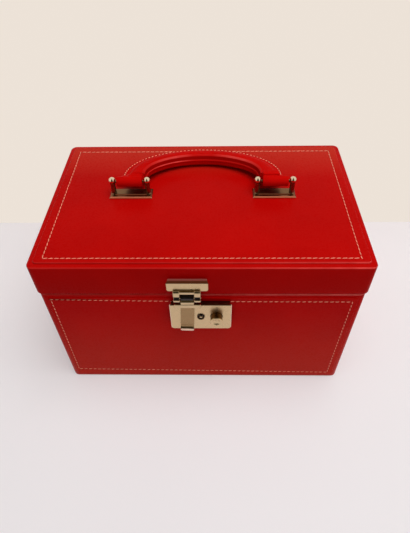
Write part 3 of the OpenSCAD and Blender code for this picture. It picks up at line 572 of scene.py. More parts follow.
WRAP_THICK = 0.9
WRAP_CORNER = 5
WRAP_TURN_IN = 6  # how far the leather turns in over an open end


def leather_shell(name, node, top_round, bottom_round, open_top, finish):
    """A hollow wrap with rounded corners and rims, open in the middle of one end or both."""
    low, high = corners(node)
    piece = block(name, low, high)
    soften(piece, WRAP_CORNER, 10, running(Z))
    soften(piece, top_round, 5, rim_at(Z, high.z))
    soften(piece, bottom_round, 5, rim_at(Z, low.z))
    for level, width, opened in ((high.z, top_round, open_top), (low.z, bottom_round, True)):
        if opened:
            choose(piece, "FACE", flat_at(Z, level))
            bpy.ops.mesh.inset(thickness=(WRAP_TURN_IN - width) * MM)
            bpy.ops.mesh.delete(type="FACE")
            leave()
    settle_modifier(piece, "SOLIDIFY", thickness=WRAP_THICK * MM, offset=-1)
    shade(piece, 40)
    return done(piece, finish, "leather", body_for[node], node)


lid_shell = leather_shell("lid_leather", "lid_wrap", top_round=1.2, bottom_round=1.0,
                          open_top=False, finish=red_leather)
# the lid's sides in the darker leather of painted shade
part_finish(lid_shell, lid_side_shade_leather, lambda m, n: abs(n.z) < 0.3)
# a painted highlight on the rounding along the lid's top front edge
part_finish(lid_shell, edge_highlight_leather, lambda m, n: n.y < -0.4 and 0.3 < n.z < 0.98)
body_shell = leather_shell("body_leather", "body_wrap", top_round=1.6, bottom_round=0.5,
                           open_top=True, finish=case_leather)
# a painted highlight on the rounding along the case's top front rim, stronger to the right
part_finish(body_shell, rim_highlight_leather, lambda m, n: n.y < -0.3 and 0.2 < n.z < 0.98)


# ---------------------------------------------------------------- stitching

THREAD_HIGH = 0.55
UNEVEN = 2  # degrees that a stitch's slant varies either way
THREAD_SINK = 0.15  # how deep a thread's middle lies under the leather's face


def sew(name, path, up, body, pitch=4.1, length=3.0, slant=8, wide=0.62):
    """Lays a row of separate stitches along a path, on leather that faces up."""
    bpy.ops.mesh.primitive_uv_sphere_add(segments=8, ring_count=6, radius=MM / 2,
                                         location=(0, 0, 0))
    model = bpy.context.object
    model.scale = (length, wide, THREAD_HIGH)
    settle(model)
    top = Vector(up).normalized()
    legs = [(Vector(a), Vector(b)) for a, b in zip(path, path[1:])]
    spans = [(b - a).length for a, b in legs]
    count = round(sum(spans) / pitch)
    stitches = []
    for i in range(count):
        ahead = (i + 0.5) * sum(spans) / count
        for (a, b), span in zip(legs, spans):
            if ahead <= span:
                break
            ahead -= span
        spot = a.lerp(b, ahead / span)
        lean = math.radians(slant + random.uniform(-UNEVEN, UNEVEN))
        way = Matrix.Rotation(lean, 3, top) @ (b - a).normalized()
        turn = Matrix((way, top.cross(way), top)).transposed().to_4x4()
        stitch = twin(model)
        stitch.data.transform(Matrix.Translation(spot * MM) @ turn)
        stitches.append(stitch)
    bpy.data.objects.remove(model)
    row = joined(name, stitches)
    shade(row, 60)
    done(row, peach_thread, "leather", body)


def sew_round(name, line, up, body, **stitch):
    """Sews a closed line, sunk a little into its channel."""
    sew(name, closed([Vector(p) - Vector(up) * THREAD_SINK for p in line]), up, body, **stitch)


# ---------------------------------------------------------------- panels

CHANNEL_SIDE = 1.1  # from the sewn line to its channel's outer edge
CHANNEL_STEP = 0.55
CHANNEL_DROPS = (-0.1, -0.2, 0.2, 0.1)  # down to the channel's floor and up again


def off_corner(spot, line, axis):
    """A corner of a sewn line, moved out to the channel's outer edge."""
    middle = sum((Vector(p) for p in line), Vector()) / len(line)
    away = [0 if i == axis else math.copysign(CHANNEL_SIDE, spot[i] - middle[i])
            for i in (X, Y, Z)]
    return Vector(spot) + Vector(away)


def panel(name, node, axis, sign, line, corner=2.5, edge=0.45, finish=case_leather):
    """A leather panel with a skived edge, and a channel pressed along its sewn line."""
    low, high = corners(node)
    front = (high if sign > 0 else low)[axis]
    piece = block(name, low, high)
    soften(piece, corner, 8, running(axis))
    soften(piece, edge, 4, rim_at(axis, front))
    choose(piece, "FACE", flat_at(axis, front))
    bpy.ops.mesh.delete(type="ONLY_FACE")
    leave()
    field = wire("field", [off_corner(p, line, axis) for p in line])
    open_whole()
    bpy.ops.mesh.edge_face_add()
    leave()
    bpy.ops.object.mode_set(mode="EDIT")
    if field.data.polygons[0].normal[axis] * sign < 0:
        bpy.ops.mesh.flip_normals()
    for drop in CHANNEL_DROPS:
        bpy.ops.mesh.inset(thickness=CHANNEL_STEP * MM, depth=drop * MM)
    leave()
    piece = joined(name, [piece, field])
    bpy.ops.object.mode_set(mode="EDIT")
    bpy.ops.mesh.select_mode(type="EDGE")
    bpy.ops.mesh.select_all(action="DESELECT")
    bpy.ops.mesh.select_non_manifold()
    bpy.ops.mesh.bridge_edge_loops()
    leave()
    outward(piece)
    shade(piece, even=True)
    return done(piece, finish, "leather", body_for[node], node)


# the lid's raised panel
top_z = corners("lid_top_panel")[1].z
lid_line = [(-111.3, -68.6, top_z), (111.3, -68.6, top_z), (111.3, 65.2, top_z),
            (-111.3, 65.2, top_z)]
lid_panel = panel("lid_panel", "lid_top_panel", Z, 1, lid_line, corner=3, edge=0.9,
                  finish=lid_top_leather)
# a painted highlight along the raised panel's front edge
part_finish(lid_panel, edge_highlight_leather, lambda m, n: m.y < -71 and n.y < -0.25)
sew_round("lid_stitches", lid_line, UP, "lid", length=3.8, slant=5)

# the front panel, whose sewn line lies a little askew
front_y = corners("front_panel")[0].y
front_line = [(x, front_y, z) for x, z in (
    (-113.4, 12.1), (111.5, 7.7), (112.0, 109.3), (40, 109.5), (-20, 109.9), (-70, 110.7),
    (-112.8, 111.8))]
front_leather = panel("front_leather", "front_panel", Y, -1, front_line)
sew_round("front_stitches", front_line, FRONT, "case")

# the other three sides
SEAM_SIDE, SEAM_END = 2.6, 3  # from a panel's edges to its sewn line
for node, axis, sign in (("back_panel", Y, 1), ("left_panel", X, -1), ("right_panel", X, 1)):
    low, high = corners(node)
    across = 1 - axis
    near, far = low[across] + SEAM_SIDE, high[across] - SEAM_SIDE
    bottom, top = low.z + SEAM_END, high.z - SEAM_END
    line = [Vector((a, a, z)) for a, z in ((near, bottom), (far, bottom), (far, top), (near, top))]
    for spot in line:
        spot[axis] = (high if sign > 0 else low)[axis]
    out = Vector((0, 0, 0))
    out[axis] = sign
    panel(node + "_leather", node, axis, sign, line)
    sew_round(node + "_stitches", line, out, "case")


# ---------------------------------------------------------------- the handle

MOUNT_X, PIVOT_Y, PIVOT_Z = 57.2, 3.2, 160.6
ARCH_HALF, ARCH_START, ARCH_RISE = 54.0, 8, 38.5
ARCH_FOOT = (5.2, 6.6)  # the two points of each straight end
GRIP_SEAM_OUT, GRIP_SEAM_UP = 8.1, 1.8  # where the flange is sewn, from the arch's line
droop = math.radians(8.42)
pivot = Vector((0, PIVOT_Y, PIVOT_Z))


def on_handle(x, reach, height):
    """From the handle's own flat drawing to where it lies back on the lid."""
    return Vector((x, pivot.y + reach * math.cos(droop) + height * math.sin(droop),
                   pivot.z - reach * math.sin(droop) + height * math.cos(droop)))


def lay_back(piece):
    """Turns a piece that is drawn flat to where the handle lies."""
    piece.rotation_euler.x = -droop
    piece.location = pivot * MM
    settle(piece)


handle_up = on_handle(0, 0, 1) - on_handle(0, 0, 0)
arch = [(ARCH_HALF, reach) for reach in ARCH_FOOT]
arch += [(ARCH_HALF * math.cos(math.radians(a)), ARCH_START + ARCH_RISE * math.sin(math.radians(a)))
         for a in range(0, 181, 3)]
arch += [(-ARCH_HALF, reach) for reach in reversed(ARCH_FOOT)]
# the grip's upper half in section, from its sewn flange over its padded roll
half_section = [
    (9.5, 0.0), (9.45, 0.9), (9.25, 1.5), (8.9, 1.85), (8.5, 1.85), (8.1, 1.74), (7.7, 1.85),
    (7.2, 2.0), (6.1, 2.05), (5.0, 2.2), (4.0, 2.5), (3.0, 3.2), (1.9, 4.1), (0.4, 4.7),
    (-1.8, 4.97), (-4.6, 5.0), (-6.6, 4.85), (-7.7, 4.45), (-8.35, 3.75), (-8.6, 2.8),
    (-8.7, 1.7), (-8.95, 0.9), (-9.4, 0.35)]
section = half_section + [(-9.5, 0.0)] + [(u, -w) for u, w in reversed(half_section[1:])]

section_line = wire("grip_section", closed([(u, w, 0) for u, w in section]))
outward(section_line)
bpy.ops.object.convert(target="CURVE")
section_line.data.dimensions = "2D"
grip = wire("grip_leather", [(x, reach, 0) for x, reach in arch])
bpy.ops.object.convert(target="CURVE")
grip.data.dimensions = "3D"
grip.data.twist_mode = "Z_UP"
grip.data.bevel_mode = "OBJECT"
grip.data.bevel_object = section_line
grip.data.use_fill_caps = True
pick(grip)
bpy.ops.object.convert(target="MESH")
bpy.data.objects.remove(section_line)
lay_back(grip)
outward(grip)
shade(grip, 40)
done(grip, handle_leather, "leather", "handle", "handle_grip")


def inner_band(low, high):
    """Passes the faces of the arch's inner side between two heights over the handle's middle."""
    def test(m, n):
        reach = (m.y - pivot.y) * math.cos(droop) - (m.z - pivot.z) * math.sin(droop)
        height = (m.y - pivot.y) * math.sin(droop) + (m.z - pivot.z) * math.cos(droop)
        outwards = n.y * math.cos(droop) - n.z * math.sin(droop)
        return m.x * n.x + (reach - ARCH_START) * outwards < 0 and low < height < high
    return test


# the grip's inner side: a painted highlight on its ridge and its shoulder, and painted shade
# between them
part_finish(grip, ridge_highlight_leather, inner_band(0.3, 1.0))
part_finish(grip, inner_shade_leather, inner_band(1.0, 3.45))
part_finish(grip, shoulder_leather, inner_band(4.0, 4.75))

# the flange's seam, a row on each of its faces
seam = []
for behind, (x, reach), ahead in zip(arch, arch[1:], arch[2:]):
    way = Vector((ahead[0] - behind[0], ahead[1] - behind[1])).normalized()
    seam.append((x + way.y * GRIP_SEAM_OUT, reach - way.x * GRIP_SEAM_OUT))
for side, level in (("upper", 1), ("lower", -1)):
    sew("grip_stitches_" + side, [on_handle(x, reach, GRIP_SEAM_UP * level) for x, reach in seam],
        handle_up * level, "handle", pitch=3.3, length=2.1, wide=0.8)

# two loops round the bars, each with a cuff up over the grip's end, and a flap on the right one
CUFF_START, CUFF_END = 1.0, 7.6
# the cuff is as thick as the loop at its foot, and a little thicker than the grip at its top
low_cuff = [(u, 3.85 * max(-1, min(1, w / 1.2))) for u, w in section]
high_cuff = [(u, w * 1.06) for u, w in section]
mid_cuff = [(u, (w + v) / 2) for (u, w), (_, v) in zip(high_cuff, low_cuff)]
# how far each ring reaches, its shift and its width along the bar, and its outline
cuff_rings = ((CUFF_START, -1.8, 0.85, low_cuff), (4.9, -2.2, 0.92, mid_cuff),
              (CUFF_END, -3.2, 1.02, high_cuff))
loop_profile = closed([(1.3, -10), (3.5, -10), (3.85, -9.85), (4, -9.5), (4, 0), (4, 9.5),
                       (3.85, 9.85), (3.5, 10), (1.3, 10)])
for side, name in ((-1, "left_loop"), (1, "right_loop")):
    middle = side * MOUNT_X
    tube = turned(name, loop_profile, (middle, 0, 0), RIGHT, steps=36)
    rings = [[(middle + side * (shift + u * width), reach, w) for u, w in outline]
             for reach, shift, width, outline in cuff_rings]
    skins = []
    for first, second in zip(rings, rings[1:]):
        skin = joined("skin", [wire("ring", closed(first)), wire("ring", closed(second))])
        open_whole()
        bpy.ops.mesh.remove_doubles(threshold=MERGE)
        bpy.ops.mesh.bridge_edge_loops()
        leave()
        skins.append(skin)
    cuff = joined(name + "_cuff", skins)
    outward(cuff)
    for reach in (CUFF_START, CUFF_END):
        choose(cuff, "EDGE", rim_at(Y, reach))
        bpy.ops.mesh.edge_face_add()
        leave()
    outward(cuff)
    round_off(cuff, 0.3, segments=3, angle=60)
    parts = [tube, cuff]
    if side > 0:
        flap = block(name + "_flap", (47.3, 2.2, 3.0), (60.6, 8.6, 5.4))
        soften(flap, 1.0, 4, lambda m, w: m.z > 5.35)
        soften(flap, 0.5, 3, lambda m, w: abs(w.z) > 0.9)
        parts.append(flap)
    loop = joined(name, parts)
    lay_back(loop)
    shade(loop, 40)
    done(loop, handle_leather, "leather", "handle", "handle_loops")


# ---------------------------------------------------------------- polished metal

def cut(piece, cutter):
    settle_modifier(piece, "BOOLEAN", object=cutter, operation="DIFFERENCE", solver="EXACT")
    bpy.data.objects.remove(cutter)


def ease(piece, width, segments=3, angle=40):
    """Eases all the sharp edges of a metal piece."""
    round_off(piece, width, segments, angle)
    shade(piece, even=True)


def polished(piece, body, *stands_for, finish=pale_gold):
    return done(piece, finish, "gilt_metal", body, *stands_for)


# the lock's mortise through the leather
low, high = corners("lock_case")
for piece, angle, even in ((body_shell, 40, False), (front_leather, SHARP, True)):
    cut(piece, block("mortise", (low.x + 0.05, low.y - 2, low.z + 0.05),
                     (high.x - 0.05, high.y + 1, high.z - 0.05)))
    shade(piece, angle, even)

# the lock plate, pierced for the key, the button and the staple
KEY_X, BUTTON_X, KEY_Z = -0.7, 11.1, 97.8
PLATE_Y = -81.5  # the plate's front face
KEY_HOLE, BUTTON_HOLE = 2.6, 4.85
low, high = corners("lock_plate")
plate_x = (low.x + high.x) / 2
plate = block("lock_plate_polished", low, high)
soften(plate, 2.5, 8, lambda m, w: abs(w.y) > STRAIGHT and m.z < low.z + 1)
soften(plate, 1.0, 6, lambda m, w: abs(w.y) > STRAIGHT and m.z > high.z - 1)
soften(plate, 0.7, 5, rim_at(Y, low.y))
for x, radius in ((KEY_X, KEY_HOLE), (BUTTON_X, BUTTON_HOLE)):
    bpy.ops.mesh.primitive_cylinder_add(
        vertices=48, radius=radius * MM, depth=6 * MM, location=Vector((x, low.y, KEY_Z)) * MM,
        rotation=(math.pi / 2, 0, 0))
    drill = bpy.context.object
    settle(drill)
    cut(plate, drill)
cut(plate, block("slot", (-12.1, low.y - 1, 99.7), (-8.3, high.y + 1, high.z + 1)))
shade(plate, even=True)
polished(plate, "case", "lock_plate", finish=satin_gold)
# painted highlight on the plate's lower and outer edges, painted shade on its top
part_finish(plate, edge_highlight_gold, lambda m, n: abs(n.y) < 0.96 and (n.z < -0.2 or abs(n.x) > 0.3)
            and (abs(m.x - plate_x) > 21 or m.z < low.z + 1.5))
part_finish(plate, shaded_gold, lambda m, n: n.z > 0.3 and abs(n.x) < 0.3 and m.z > high.z - 1)

# the rim pressed up round the keyhole
rim = turned("keyhole_collar", closed([
    (2.52, -0.95), (2.62, -1.05), (2.82, -1.05), (2.95, -0.92), (2.95, 0.02), (3.1, 0.1),
    (2.95, 0.5), (2.52, 0.5)]), (KEY_X, low.y, KEY_Z), BACK)
polished(rim, "case")
# the collar's upper half in dark steel as painted shade, its lower faces that face up in a warmer
# gold as painted light
part_finish(rim, dark_steel_and_shade, lambda m, n: m.z > KEY_Z + 0.3)
part_finish(rim, collar_lit_gold, lambda m, n: m.z < KEY_Z - 0.6 and n.z > 0.3)

# the hasp's bar on the lid, narrower at its back
BAR_HALF, BAR_BACK_HALF = 14.9, 13.8
low, high = corners("hasp_bar")
bar = block("hasp_bar_polished", low, high)
soften(bar, 1.8, 6, lambda m, w: abs(w.y) > STRAIGHT and m.z < low.z + 1)
choose(bar, "FACE", lambda m, n: n.y > STRAIGHT)
bpy.ops.transform.resize(value=(BAR_BACK_HALF / BAR_HALF, 1, 1),
                         center_override=Vector(((low.x + high.x) / 2, high.y, high.z)) * MM)
leave()
soften(bar, 0.45, 3, lambda m, w: rim_at(Y, low.y)(m, w) and m.z < high.z - 0.01)
soften(bar, 1.0, 6,
       lambda m, w: m.y < low.y + 0.6 and m.z > high.z - 0.02 and abs(w.x) > STRAIGHT)
shade(bar, even=True)
polished(bar, "lid", "hasp_bar", finish=satin_gold)
# the bar's top in a painted reflection, dark at its front and pinkish at its back
bar_top_reflection = reflection_ramp_finish("bar_top_reflection", (0.10, 0.03, 0.008), (0.42, 0.13, 0.10),
                       low.y + 2.2, high.y - 1.2)
part_finish(bar, bar_top_reflection, lambda m, n: n.z > 0.95)

# two ears and the bridge between them
HASP_X, HASP_Y, HASP_Z = -10.2, -81.1, 120.2  # the middle of the hasp's pin
LID_FACE = -77.0
BARREL = 3.7
EAR_WIDE = 4.7
barrel = [(HASP_Y + BARREL * math.cos(a), HASP_Z + BARREL * math.sin(a))
          for a in (math.radians(t) for t in range(168, 361, 8))]
ear_shape = [
    (LID_FACE, 128.9), (-82.5, 128.9), (-83.1, 128.7), (-83.6, 128.2), (-83.9, 127.4),
    (-84.0, 126.0), (-84.0, 123.9), (-83.8, 123.3), (-83.3, 122.8), (-83.0, 122.2),
    (-83.1, 121.6), (-83.6, 121.2), *barrel, (LID_FACE, 120.6)]
ears = []
for x in (HASP_X - 9.9, HASP_X + 5.2):
    ear = pressed("ear", closed([(x, y, z) for y, z in ear_shape]), (EAR_WIDE, 0, 0))
    ease(ear, 0.45, segments=4, angle=60)
    ears.append(ear)
bridge = block("bridge", (HASP_X - 5.4, -83.4, 125.9), (HASP_X + 5.4, LID_FACE, 128.3))
ease(bridge, 0.3)
bracket = joined("hasp_bracket_polished", [*ears, bridge])
polished(bracket, "lid", "hasp_bracket")
# the ears' grooves in dark steel as painted shade
part_finish(bracket, dark_steel_and_shade,
            lambda m, n: 121.0 < m.z < 123.4 and m.y < -82.9 and abs(n.x) < 0.5)
pin = turned("hasp_pin_polished", [
    (0, -10.15), (0.7, -10.1), (1.0, -9.85), (1.0, 9.85), (0.7, 10.1), (0, 10.15)],
    (HASP_X, HASP_Y, HASP_Z), RIGHT, steps=24)
polished(pin, "lid", "hasp_pin")

# the hasp's knuckle, and its strap's neck and shoulder
knuckle = turned("hasp_knuckle", closed([
    (1.05, -4.85), (2.0, -4.85), (2.2, -4.65), (2.2, 4.65), (2.0, 4.85), (1.05, 4.85)]),
    (HASP_X, HASP_Y, HASP_Z), RIGHT, steps=36)
done(knuckle, dark_steel_and_shade, "gilt_metal", "hasp")
neck = pressed("neck", closed([(HASP_X - 4.85, y, z) for y, z in (
    (-81.25, 119.0), (-82.0, 118.2), (-83.0, 117.4), (-83.5, 116.6), (-83.5, 114.4),
    (-81.85, 114.4), (-81.3, 116.2))]), (9.7, 0, 0))
ease(neck, 0.25, angle=60)
SHOULDER_FRONT = -83.8
shoulder = block("shoulder", (HASP_X - 10, SHOULDER_FRONT, 110.8), (HASP_X + 10, -81.8, 114.6))
soften(shoulder, 0.9, 4, running(Y))
soften(shoulder, 0.5, 3, rim_at(Y, SHOULDER_FRONT))
shade(shoulder, even=True)
strap = joined("hasp_strap_polished", [shoulder, neck])
polished(strap, "hasp")

# the strap's tongue, which tilts a little and curls out into a finger lip
TONGUE_HALF = 5.1
CURL_Y, CURL_Z, CURL_INNER, CURL_OUTER = -86.7, 89.3, 3.4, 4.9
curl = [math.radians(t) for t in range(0, 73, 6)]
tongue_shape = [(-81.8, 112.5), (-83.3, 112.5)]
tongue_shape += [(CURL_Y + CURL_INNER * math.cos(a), CURL_Z - CURL_INNER * math.sin(a))
                 for a in curl]
tongue_shape += [(CURL_Y + CURL_OUTER * math.cos(a), CURL_Z - CURL_OUTER * math.sin(a))
                 for a in reversed(curl)]
tongue = pressed("hasp_tongue_polished", closed([(HASP_X - TONGUE_HALF, y, z)
                                                 for y, z in tongue_shape]),
                 (2 * TONGUE_HALF, 0, 0))
tip_y = CURL_Y + (CURL_INNER + CURL_OUTER) / 2 * math.cos(curl[-1])
tip_way = Vector((0, math.cos(curl[-1]), -math.sin(curl[-1])))
soften(tongue, 2.6, 6, lambda m, w: abs(abs(m.x - HASP_X) - TONGUE_HALF) < NEAR
       and abs(m.y - tip_y) < 0.3 and m.z < 87 and abs(w.x) < NEAR and abs(w.dot(tip_way)) > 0.9)
ease(tongue, 0.35, angle=50)
root = Vector((HASP_X, 0, 112)) * MM
tilt = Matrix.Rotation(math.radians(2.6), 4, "Y")
tongue.data.transform(Matrix.Translation(root) @ tilt @ Matrix.Translation(-root))
# the tongue in the darker gold of a painted reflection, its lip's end in a painted highlight
polished(tongue, "hasp", "hasp_strap", finish=tongue_shade_gold)
part_finish(tongue, lip_highlight_gold, lambda m, n: m.z < 86.5 and n.z > -0.6)

# the push button: a dished cap on a neck, with the cone that works the bolt
button = turned("push_button_polished", [
    (0, -4.3), (1.2, -4.38), (2.1, -4.58), (2.8, -4.92), (3.4, -5.27), (3.8, -5.44),
    (4.15, -5.5), (4.55, -5.42), (4.8, -5.15), (4.8, -4.5), (4.72, -4.3), (4.6, -4.2),
    (4.6, 1.05), (4.45, 1.1), (4.45, 1.85), (3.2, 1.85), (3.2, 3.4), (1.2, 5.4), (0, 5.4)],
    (BUTTON_X, PLATE_Y, KEY_Z), BACK, steps=48)
polished(button, "button", "push_button")
# the button's side in a dark brown gold as a painted reflection
part_finish(button, button_side_shade_gold, lambda m, n: m.y > -86.2 and abs(n.y) < 0.6)
part_finish(button, satin_gold, lambda m, n: m.y < -85.5 and n.y < -0.5)

# the key's hub, and the post that the key turns on
hub = turned("key_hub", closed([(1.9, 0.3), (2.3, 0.3), (2.45, 0.45), (2.45, 2.6), (1.9, 2.6)]),
             (KEY_X, PLATE_Y, KEY_Z), BACK)
done(hub, dark_steel_and_shade, "spring_steel", "key")
post = turned("key_post", [
    (0, -1.0), (0.55, -0.93), (0.9, -0.7), (1.05, -0.35), (1.05, 6.0), (0, 6.0)],
    (KEY_X, PLATE_Y, KEY_Z), BACK, steps=32)
polished(post, "case")

# the handle's mounts: a bevelled foot, a raised web and two posts that end in balls
LID_TOP = 148.0
FOOT_LONG, FOOT_DEEP, FOOT_HIGH = 17, 6, 1.8
POST_OUT = 13.7
BALL, BALL_Z = 2.65, 13.75
ball = [(BALL * math.cos(a), BALL_Z + BALL * math.sin(a))
        for a in (math.radians(t) for t in range(-44, 90, 8))]
post_profile = [(0, 1.6), (2.35, 1.75), (2.1, 2.0), (1.95, 2.5), (1.9, 3.2), (1.9, 11.75), *ball,
                (0, BALL_Z + BALL)]
for side, name in ((-1, "left_handle_mount"), (1, "right_handle_mount")):
    x, y, z = side * MOUNT_X, PIVOT_Y, LID_TOP
    foot = block(name + "_foot", (x - FOOT_LONG, y - FOOT_DEEP, z),
                 (x + FOOT_LONG, y + FOOT_DEEP, z + FOOT_HIGH))
    soften(foot, 0.9, 1, lambda m, w: abs(m.z - z - FOOT_HIGH) < NEAR)
    ease(foot, 0.12, segments=2, angle=20)
    polished(foot, "lid")
    # the foot's top and front bevel in painted reflections of the red lid, its outer front corners
    # in a painted highlight
    part_finish(foot, foot_top_reflection_gold, lambda m, n: n.z > 0.2)
    part_finish(foot, red_reflection_gold, lambda m, n: 0.2 < n.z <= 0.95 and n.y < -0.3)
    part_finish(foot, edge_highlight_gold, lambda m, n: abs(abs(m.x - x) - 16.5) < 0.6
                and m.y < y - 5 and 0.1 < n.z < 0.95 and abs(n.x) > 0.3)
    web = block(name + "_web", (x - 12.6, y - 3, z + 1.6), (x + 12.6, y + 3, z + 2.6))
    ease(web, 0.25)
    # the web in a darker gold as painted shade, its front face in a red gold as a painted
    # reflection of the lid
    polished(web, "lid", finish=web_shade_gold)
    part_finish(web, red_reflection_gold, lambda m, n: n.y < -0.9)
    posts = joined(name + "_polished", [
        turned("post", post_profile, (x + way * POST_OUT, y, z), UP) for way in (-1, 1)])
    # the balls in a brighter gold as a painted highlight, the shafts in a darker gold as painted
    # shade
    polished(posts, "lid", name, finish=ball_highlight_gold)
    part_finish(posts, post_and_bar_shade_gold, lambda m, n: m.z < z + 12.7)
bar_profile = [(0, -15.5), (1.0, -15.45), (1.25, -15.2), (1.25, 15.2), (1.0, 15.45), (0, 15.5)]
bars = [turned("bar", bar_profile, (side * MOUNT_X, PIVOT_Y, PIVOT_Z), RIGHT, steps=24)
        for side in (-1, 1)]
# the bars in the darker gold of painted shade
polished(joined("handle_bars_polished", bars), "lid", "handle_bars", finish=post_and_bar_shade_gold)

# the rear hinges, the screws and the lock's inner parts
for node, width, finish, slot in (
        ("hasp_staple", 0.25, pale_gold, "gilt_metal"),
        ("hinge_lower_leaves", 0.25, pale_gold, "gilt_metal"),
        ("hinge_upper_leaves", 0.25, pale_gold, "gilt_metal"),
        ("key_cam", 0, pale_gold, "gilt_metal"),
        ("hinge_pins", 0, pale_gold, "gilt_metal"),
        ("lock_case", 0.2, shaded_gold, "gilt_metal"),
        ("hinge_lower_screws", 0.15, pale_gold, "gilt_metal"),
        ("hinge_upper_screws", 0.15, pale_gold, "gilt_metal"),
        ("lock_screws", 0.15, pale_gold, "gilt_metal"),
        ("lid_screws", 0.15, pale_gold, "gilt_metal"),
        ("bolt_spring", 0, steel, "spring_steel"),
        ("latch_bolt", 0, steel, "spring_steel")):
    dressed(node, width, finish, slot)


# ---------------------------------------------------------------- inside

low, high = corners("base_panel")
base = block("base_leather", low, high)
soften(base, WRAP_CORNER, 8, running(Z))
soften(base, 0.5, 3, lambda m, w: m.z < low.z + NEAR)
shade(base, even=True)
done(base, red_leather, "leather", "case", "base_panel")
for node in ("liner_front", "liner_back", "liner_left", "liner_right", "lower_divider",
             "tray_ledges", "tray_base", "tray_frame", "tray_dividers", "lid_lining"):
    dressed(node, 0.5, suede, "suede", segments=3)
for node, width in (("tray_pads", 0.55), ("tray_ribbons", 0.35)):
    dressed(node, width, suede, "suede", segments=4)

CLOTH_PRESSURE = 4
CLOTH_STEPS = 20


def plump(piece, voxel, rise, held):
    """Blows a soft piece up in a short cloth run, to a chosen rise. Held picks what stays."""
    settle_modifier(piece, "REMESH", mode="VOXEL", voxel_size=voxel * MM)
    before = [v.co.copy() for v in piece.data.vertices]
    fixed = piece.vertex_groups.new(name="held")
    fixed.add([i for i, spot in enumerate(before) if held(spot / MM)], 1.0, "REPLACE")
    cloth = piece.modifiers.new("cloth", "CLOTH")
    cloth.settings.use_pressure = True
    cloth.settings.uniform_pressure_force = CLOTH_PRESSURE
    cloth.settings.effector_weights.gravity = 0
    cloth.settings.vertex_group_mass = "held"
    for step in range(1, CLOTH_STEPS + 1):
        bpy.context.scene.frame_set(step)
    bpy.ops.object.modifier_apply(modifier="cloth")
    bpy.context.scene.frame_set(1)
    moves = [v.co - spot for v, spot in zip(piece.data.vertices, before)]
    scale = min(1, rise * MM / max(move.length for move in moves))
    for vertex, spot, move in zip(piece.data.vertices, before, moves):
        vertex.co = spot + move * scale
    piece.vertex_groups.clear()
    settle_modifier(piece, "SMOOTH", factor=0.5, iterations=4)


# the padded floor, a little smaller than its place and crowned by the run
low, high = corners("floor_pad")
pad = block("floor_cushion", (low.x + 0.6, low.y + 0.6, low.z),
            (high.x - 0.6, high.y - 0.6, low.z + 2.9))
soften(pad, 1.1, 4, lambda m, w: abs(w.z) > STRAIGHT or m.z > low.z + 1.5)
plump(pad, voxel=3, rise=1.05, held=lambda spot: spot.z < low.z + 0.5)
shade(pad, 60)
done(pad, suede, "suede", "case", "floor_pad")

# the ring rolls: one stuffed roll with drawn-in ends, copied side by side
ROLL_GAP = 0.8
low, high = corners("ring_rolls")
roll_r, half = (high.z - low.z) / 2, (high.x - low.x) / 2
middle_x = (low.x + high.x) / 2
count = round((high.y - low.y + ROLL_GAP) / (2 * roll_r + ROLL_GAP))
pitch = (high.y - low.y - 2 * roll_r) / (count - 1)
end = [(0, half - 0.9), (2.2, half - 0.5), (4.4, half - 0.1), (5.9, half - 0.5),
       (6.8, half - 1.6), (roll_r - 0.5, half - 3.4)]
roll = turned("roll", [(r, -h) for r, h in end] + [(r, h) for r, h in reversed(end)],
              (middle_x, low.y + roll_r, low.z + roll_r), RIGHT, steps=32)
plump(roll, voxel=1.8, rise=0.45, held=lambda spot: abs(spot.x - middle_x) > half - 1.2)
rolls = [roll]
for i in range(1, count):
    rolls.append(twin(roll))
    rolls[i].data.transform(Matrix.Translation((0, i * pitch * MM, 0)))
roll = joined("stuffed_ring_rolls", rolls)
shade(roll, 60)
done(roll, suede, "suede", "tray", "ring_rolls")
dressed("mirror_frame", 0.8, red_leather, "leather", segments=3)

# the frame parts that stay: the boards, the mirror's glass and the handle's core
for node, part in nodes.items():
    if not part.hide_render:
        part.data.materials.clear()
        part.data.materials.append({"mirror_glass": silvered, "handle_core": steel}.get(node, wood))


# ---------------------------------------------------------------- the room and its light

def seen_rays(tree):
    """1 for what the camera or polished metal sees, and 0 for light."""
    rays = add(tree, "ShaderNodeLightPath").outputs
    return reckon(tree, "MAXIMUM", rays["Is Camera Ray"], rays["Is Glossy Ray"])


def plain_surface(name, colour, rough, seen=None, share=1.0):
    """A plain surface. Seen is a colour that the camera and polished metal see a share of."""
    finish, tree, shader, place = start_finish(name)
    mottle = spread(tree, noise(tree, place, scale=3, detail=2))
    feed(tree, shader, {
        "Base Color": blended(tree, mottle, times(colour, 0.98), colour),
        "Roughness": rough,
        "Specular IOR Level": 0.1})
    if seen:
        glow = add(tree, "ShaderNodeEmission", {"Color": (*seen, 1), "Strength": 1.0})
        part = reckon(tree, "MULTIPLY", seen_rays(tree), share)
        mix = add(tree, "ShaderNodeMixShader", {0: part, 1: shader.outputs[0], 2: glow.outputs[0]})
        feed(tree, tree.nodes["Material Output"], {"Surface": mix.outputs[0]})
    return finish


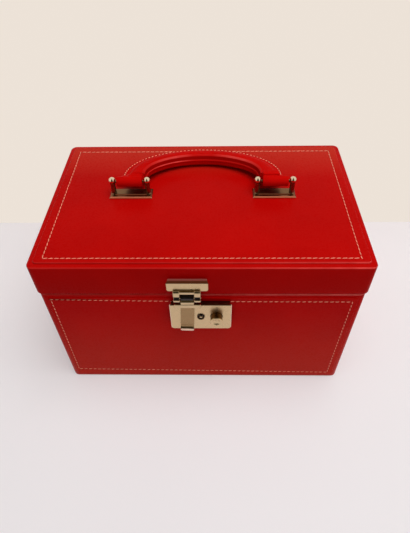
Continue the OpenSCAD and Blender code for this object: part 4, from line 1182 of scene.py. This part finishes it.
CREAM = (0.843, 0.762, 0.682)
FLOOR_HALF, FLOOR_END, THICK, WALL_HIGH = 1500, 137.8, 20, 320
ROOM_HALF, ROOM_FRONT, ROOM_TOP = 480, -720, 3200
pale_floor = plain_surface("pale_floor", (0.90, 0.86, 0.87), rough=0.8,
                           seen=(0.92, 0.90, 0.92), share=0.33)
cream_paper = plain_surface("cream_paper", (0.86, 0.78, 0.69), rough=0.9, seen=CREAM)
dim_room = plain_surface("dim_room", (0.07, 0.068, 0.045), rough=0.9)
for name, low, high, finish in (
        ("floor", (-FLOOR_HALF, -FLOOR_HALF, -THICK), (FLOOR_HALF, FLOOR_END, 0), pale_floor),
        ("floor_behind", (-FLOOR_HALF, FLOOR_END, -THICK), (FLOOR_HALF, 2 * FLOOR_HALF, 0),
         cream_paper),
        ("wall", (-FLOOR_HALF, FLOOR_END, 0), (FLOOR_HALF, FLOOR_END + THICK, WALL_HIGH),
         cream_paper),
        ("room_behind_the_camera", (-ROOM_HALF, ROOM_FRONT, 5),
         (ROOM_HALF, ROOM_FRONT + THICK, ROOM_TOP), dim_room),
        ("room_above_the_camera", (-ROOM_HALF, ROOM_FRONT, ROOM_TOP - THICK),
         (ROOM_HALF, -60, ROOM_TOP), dim_room)):
    surface = block(name, low, high)
    surface.data.materials.append(finish)
    surface.visible_camera = name in ("floor", "floor_behind")
    if finish == dim_room:  # only metal sees it
        surface.visible_diffuse = surface.visible_shadow = surface.visible_transmission = False
    surface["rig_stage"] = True

world = bpy.data.worlds.new("room")
bpy.context.scene.world = world
world.use_nodes = True
sky = world.node_tree
background = sky.nodes["Background"]
feed(sky, background, {"Color": (1.0, 0.97, 0.94, 1), "Strength": 0.24})
backdrop = add(sky, "ShaderNodeBackground", {"Color": (*CREAM, 1), "Strength": 1.0})
mix = add(sky, "ShaderNodeMixShader", {
    0: seen_rays(sky), 1: background.outputs[0], 2: backdrop.outputs[0]})
feed(sky, sky.nodes["World Output"], {"Surface": mix.outputs[0]})

# one soft lamp, placed in metres
light = bpy.data.lights.new("ceiling", "AREA")
light.size = 0.9
light.energy = 11.8
lamp = bpy.data.objects.new("ceiling", light)
bpy.context.scene.collection.objects.link(lamp)
lamp.location = (0.25, -0.2, 1.25)
lamp.rotation_euler = (Vector((0, 0, 0.05)) - lamp.location).to_track_quat("-Z", "Y").to_euler()
lamp.visible_glossy = False

bpy.context.scene.view_settings.view_transform = "Standard"
low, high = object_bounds()
{"cad": [list(cad_low), list(cad_high)], "visual": [list(low), list(high)]}
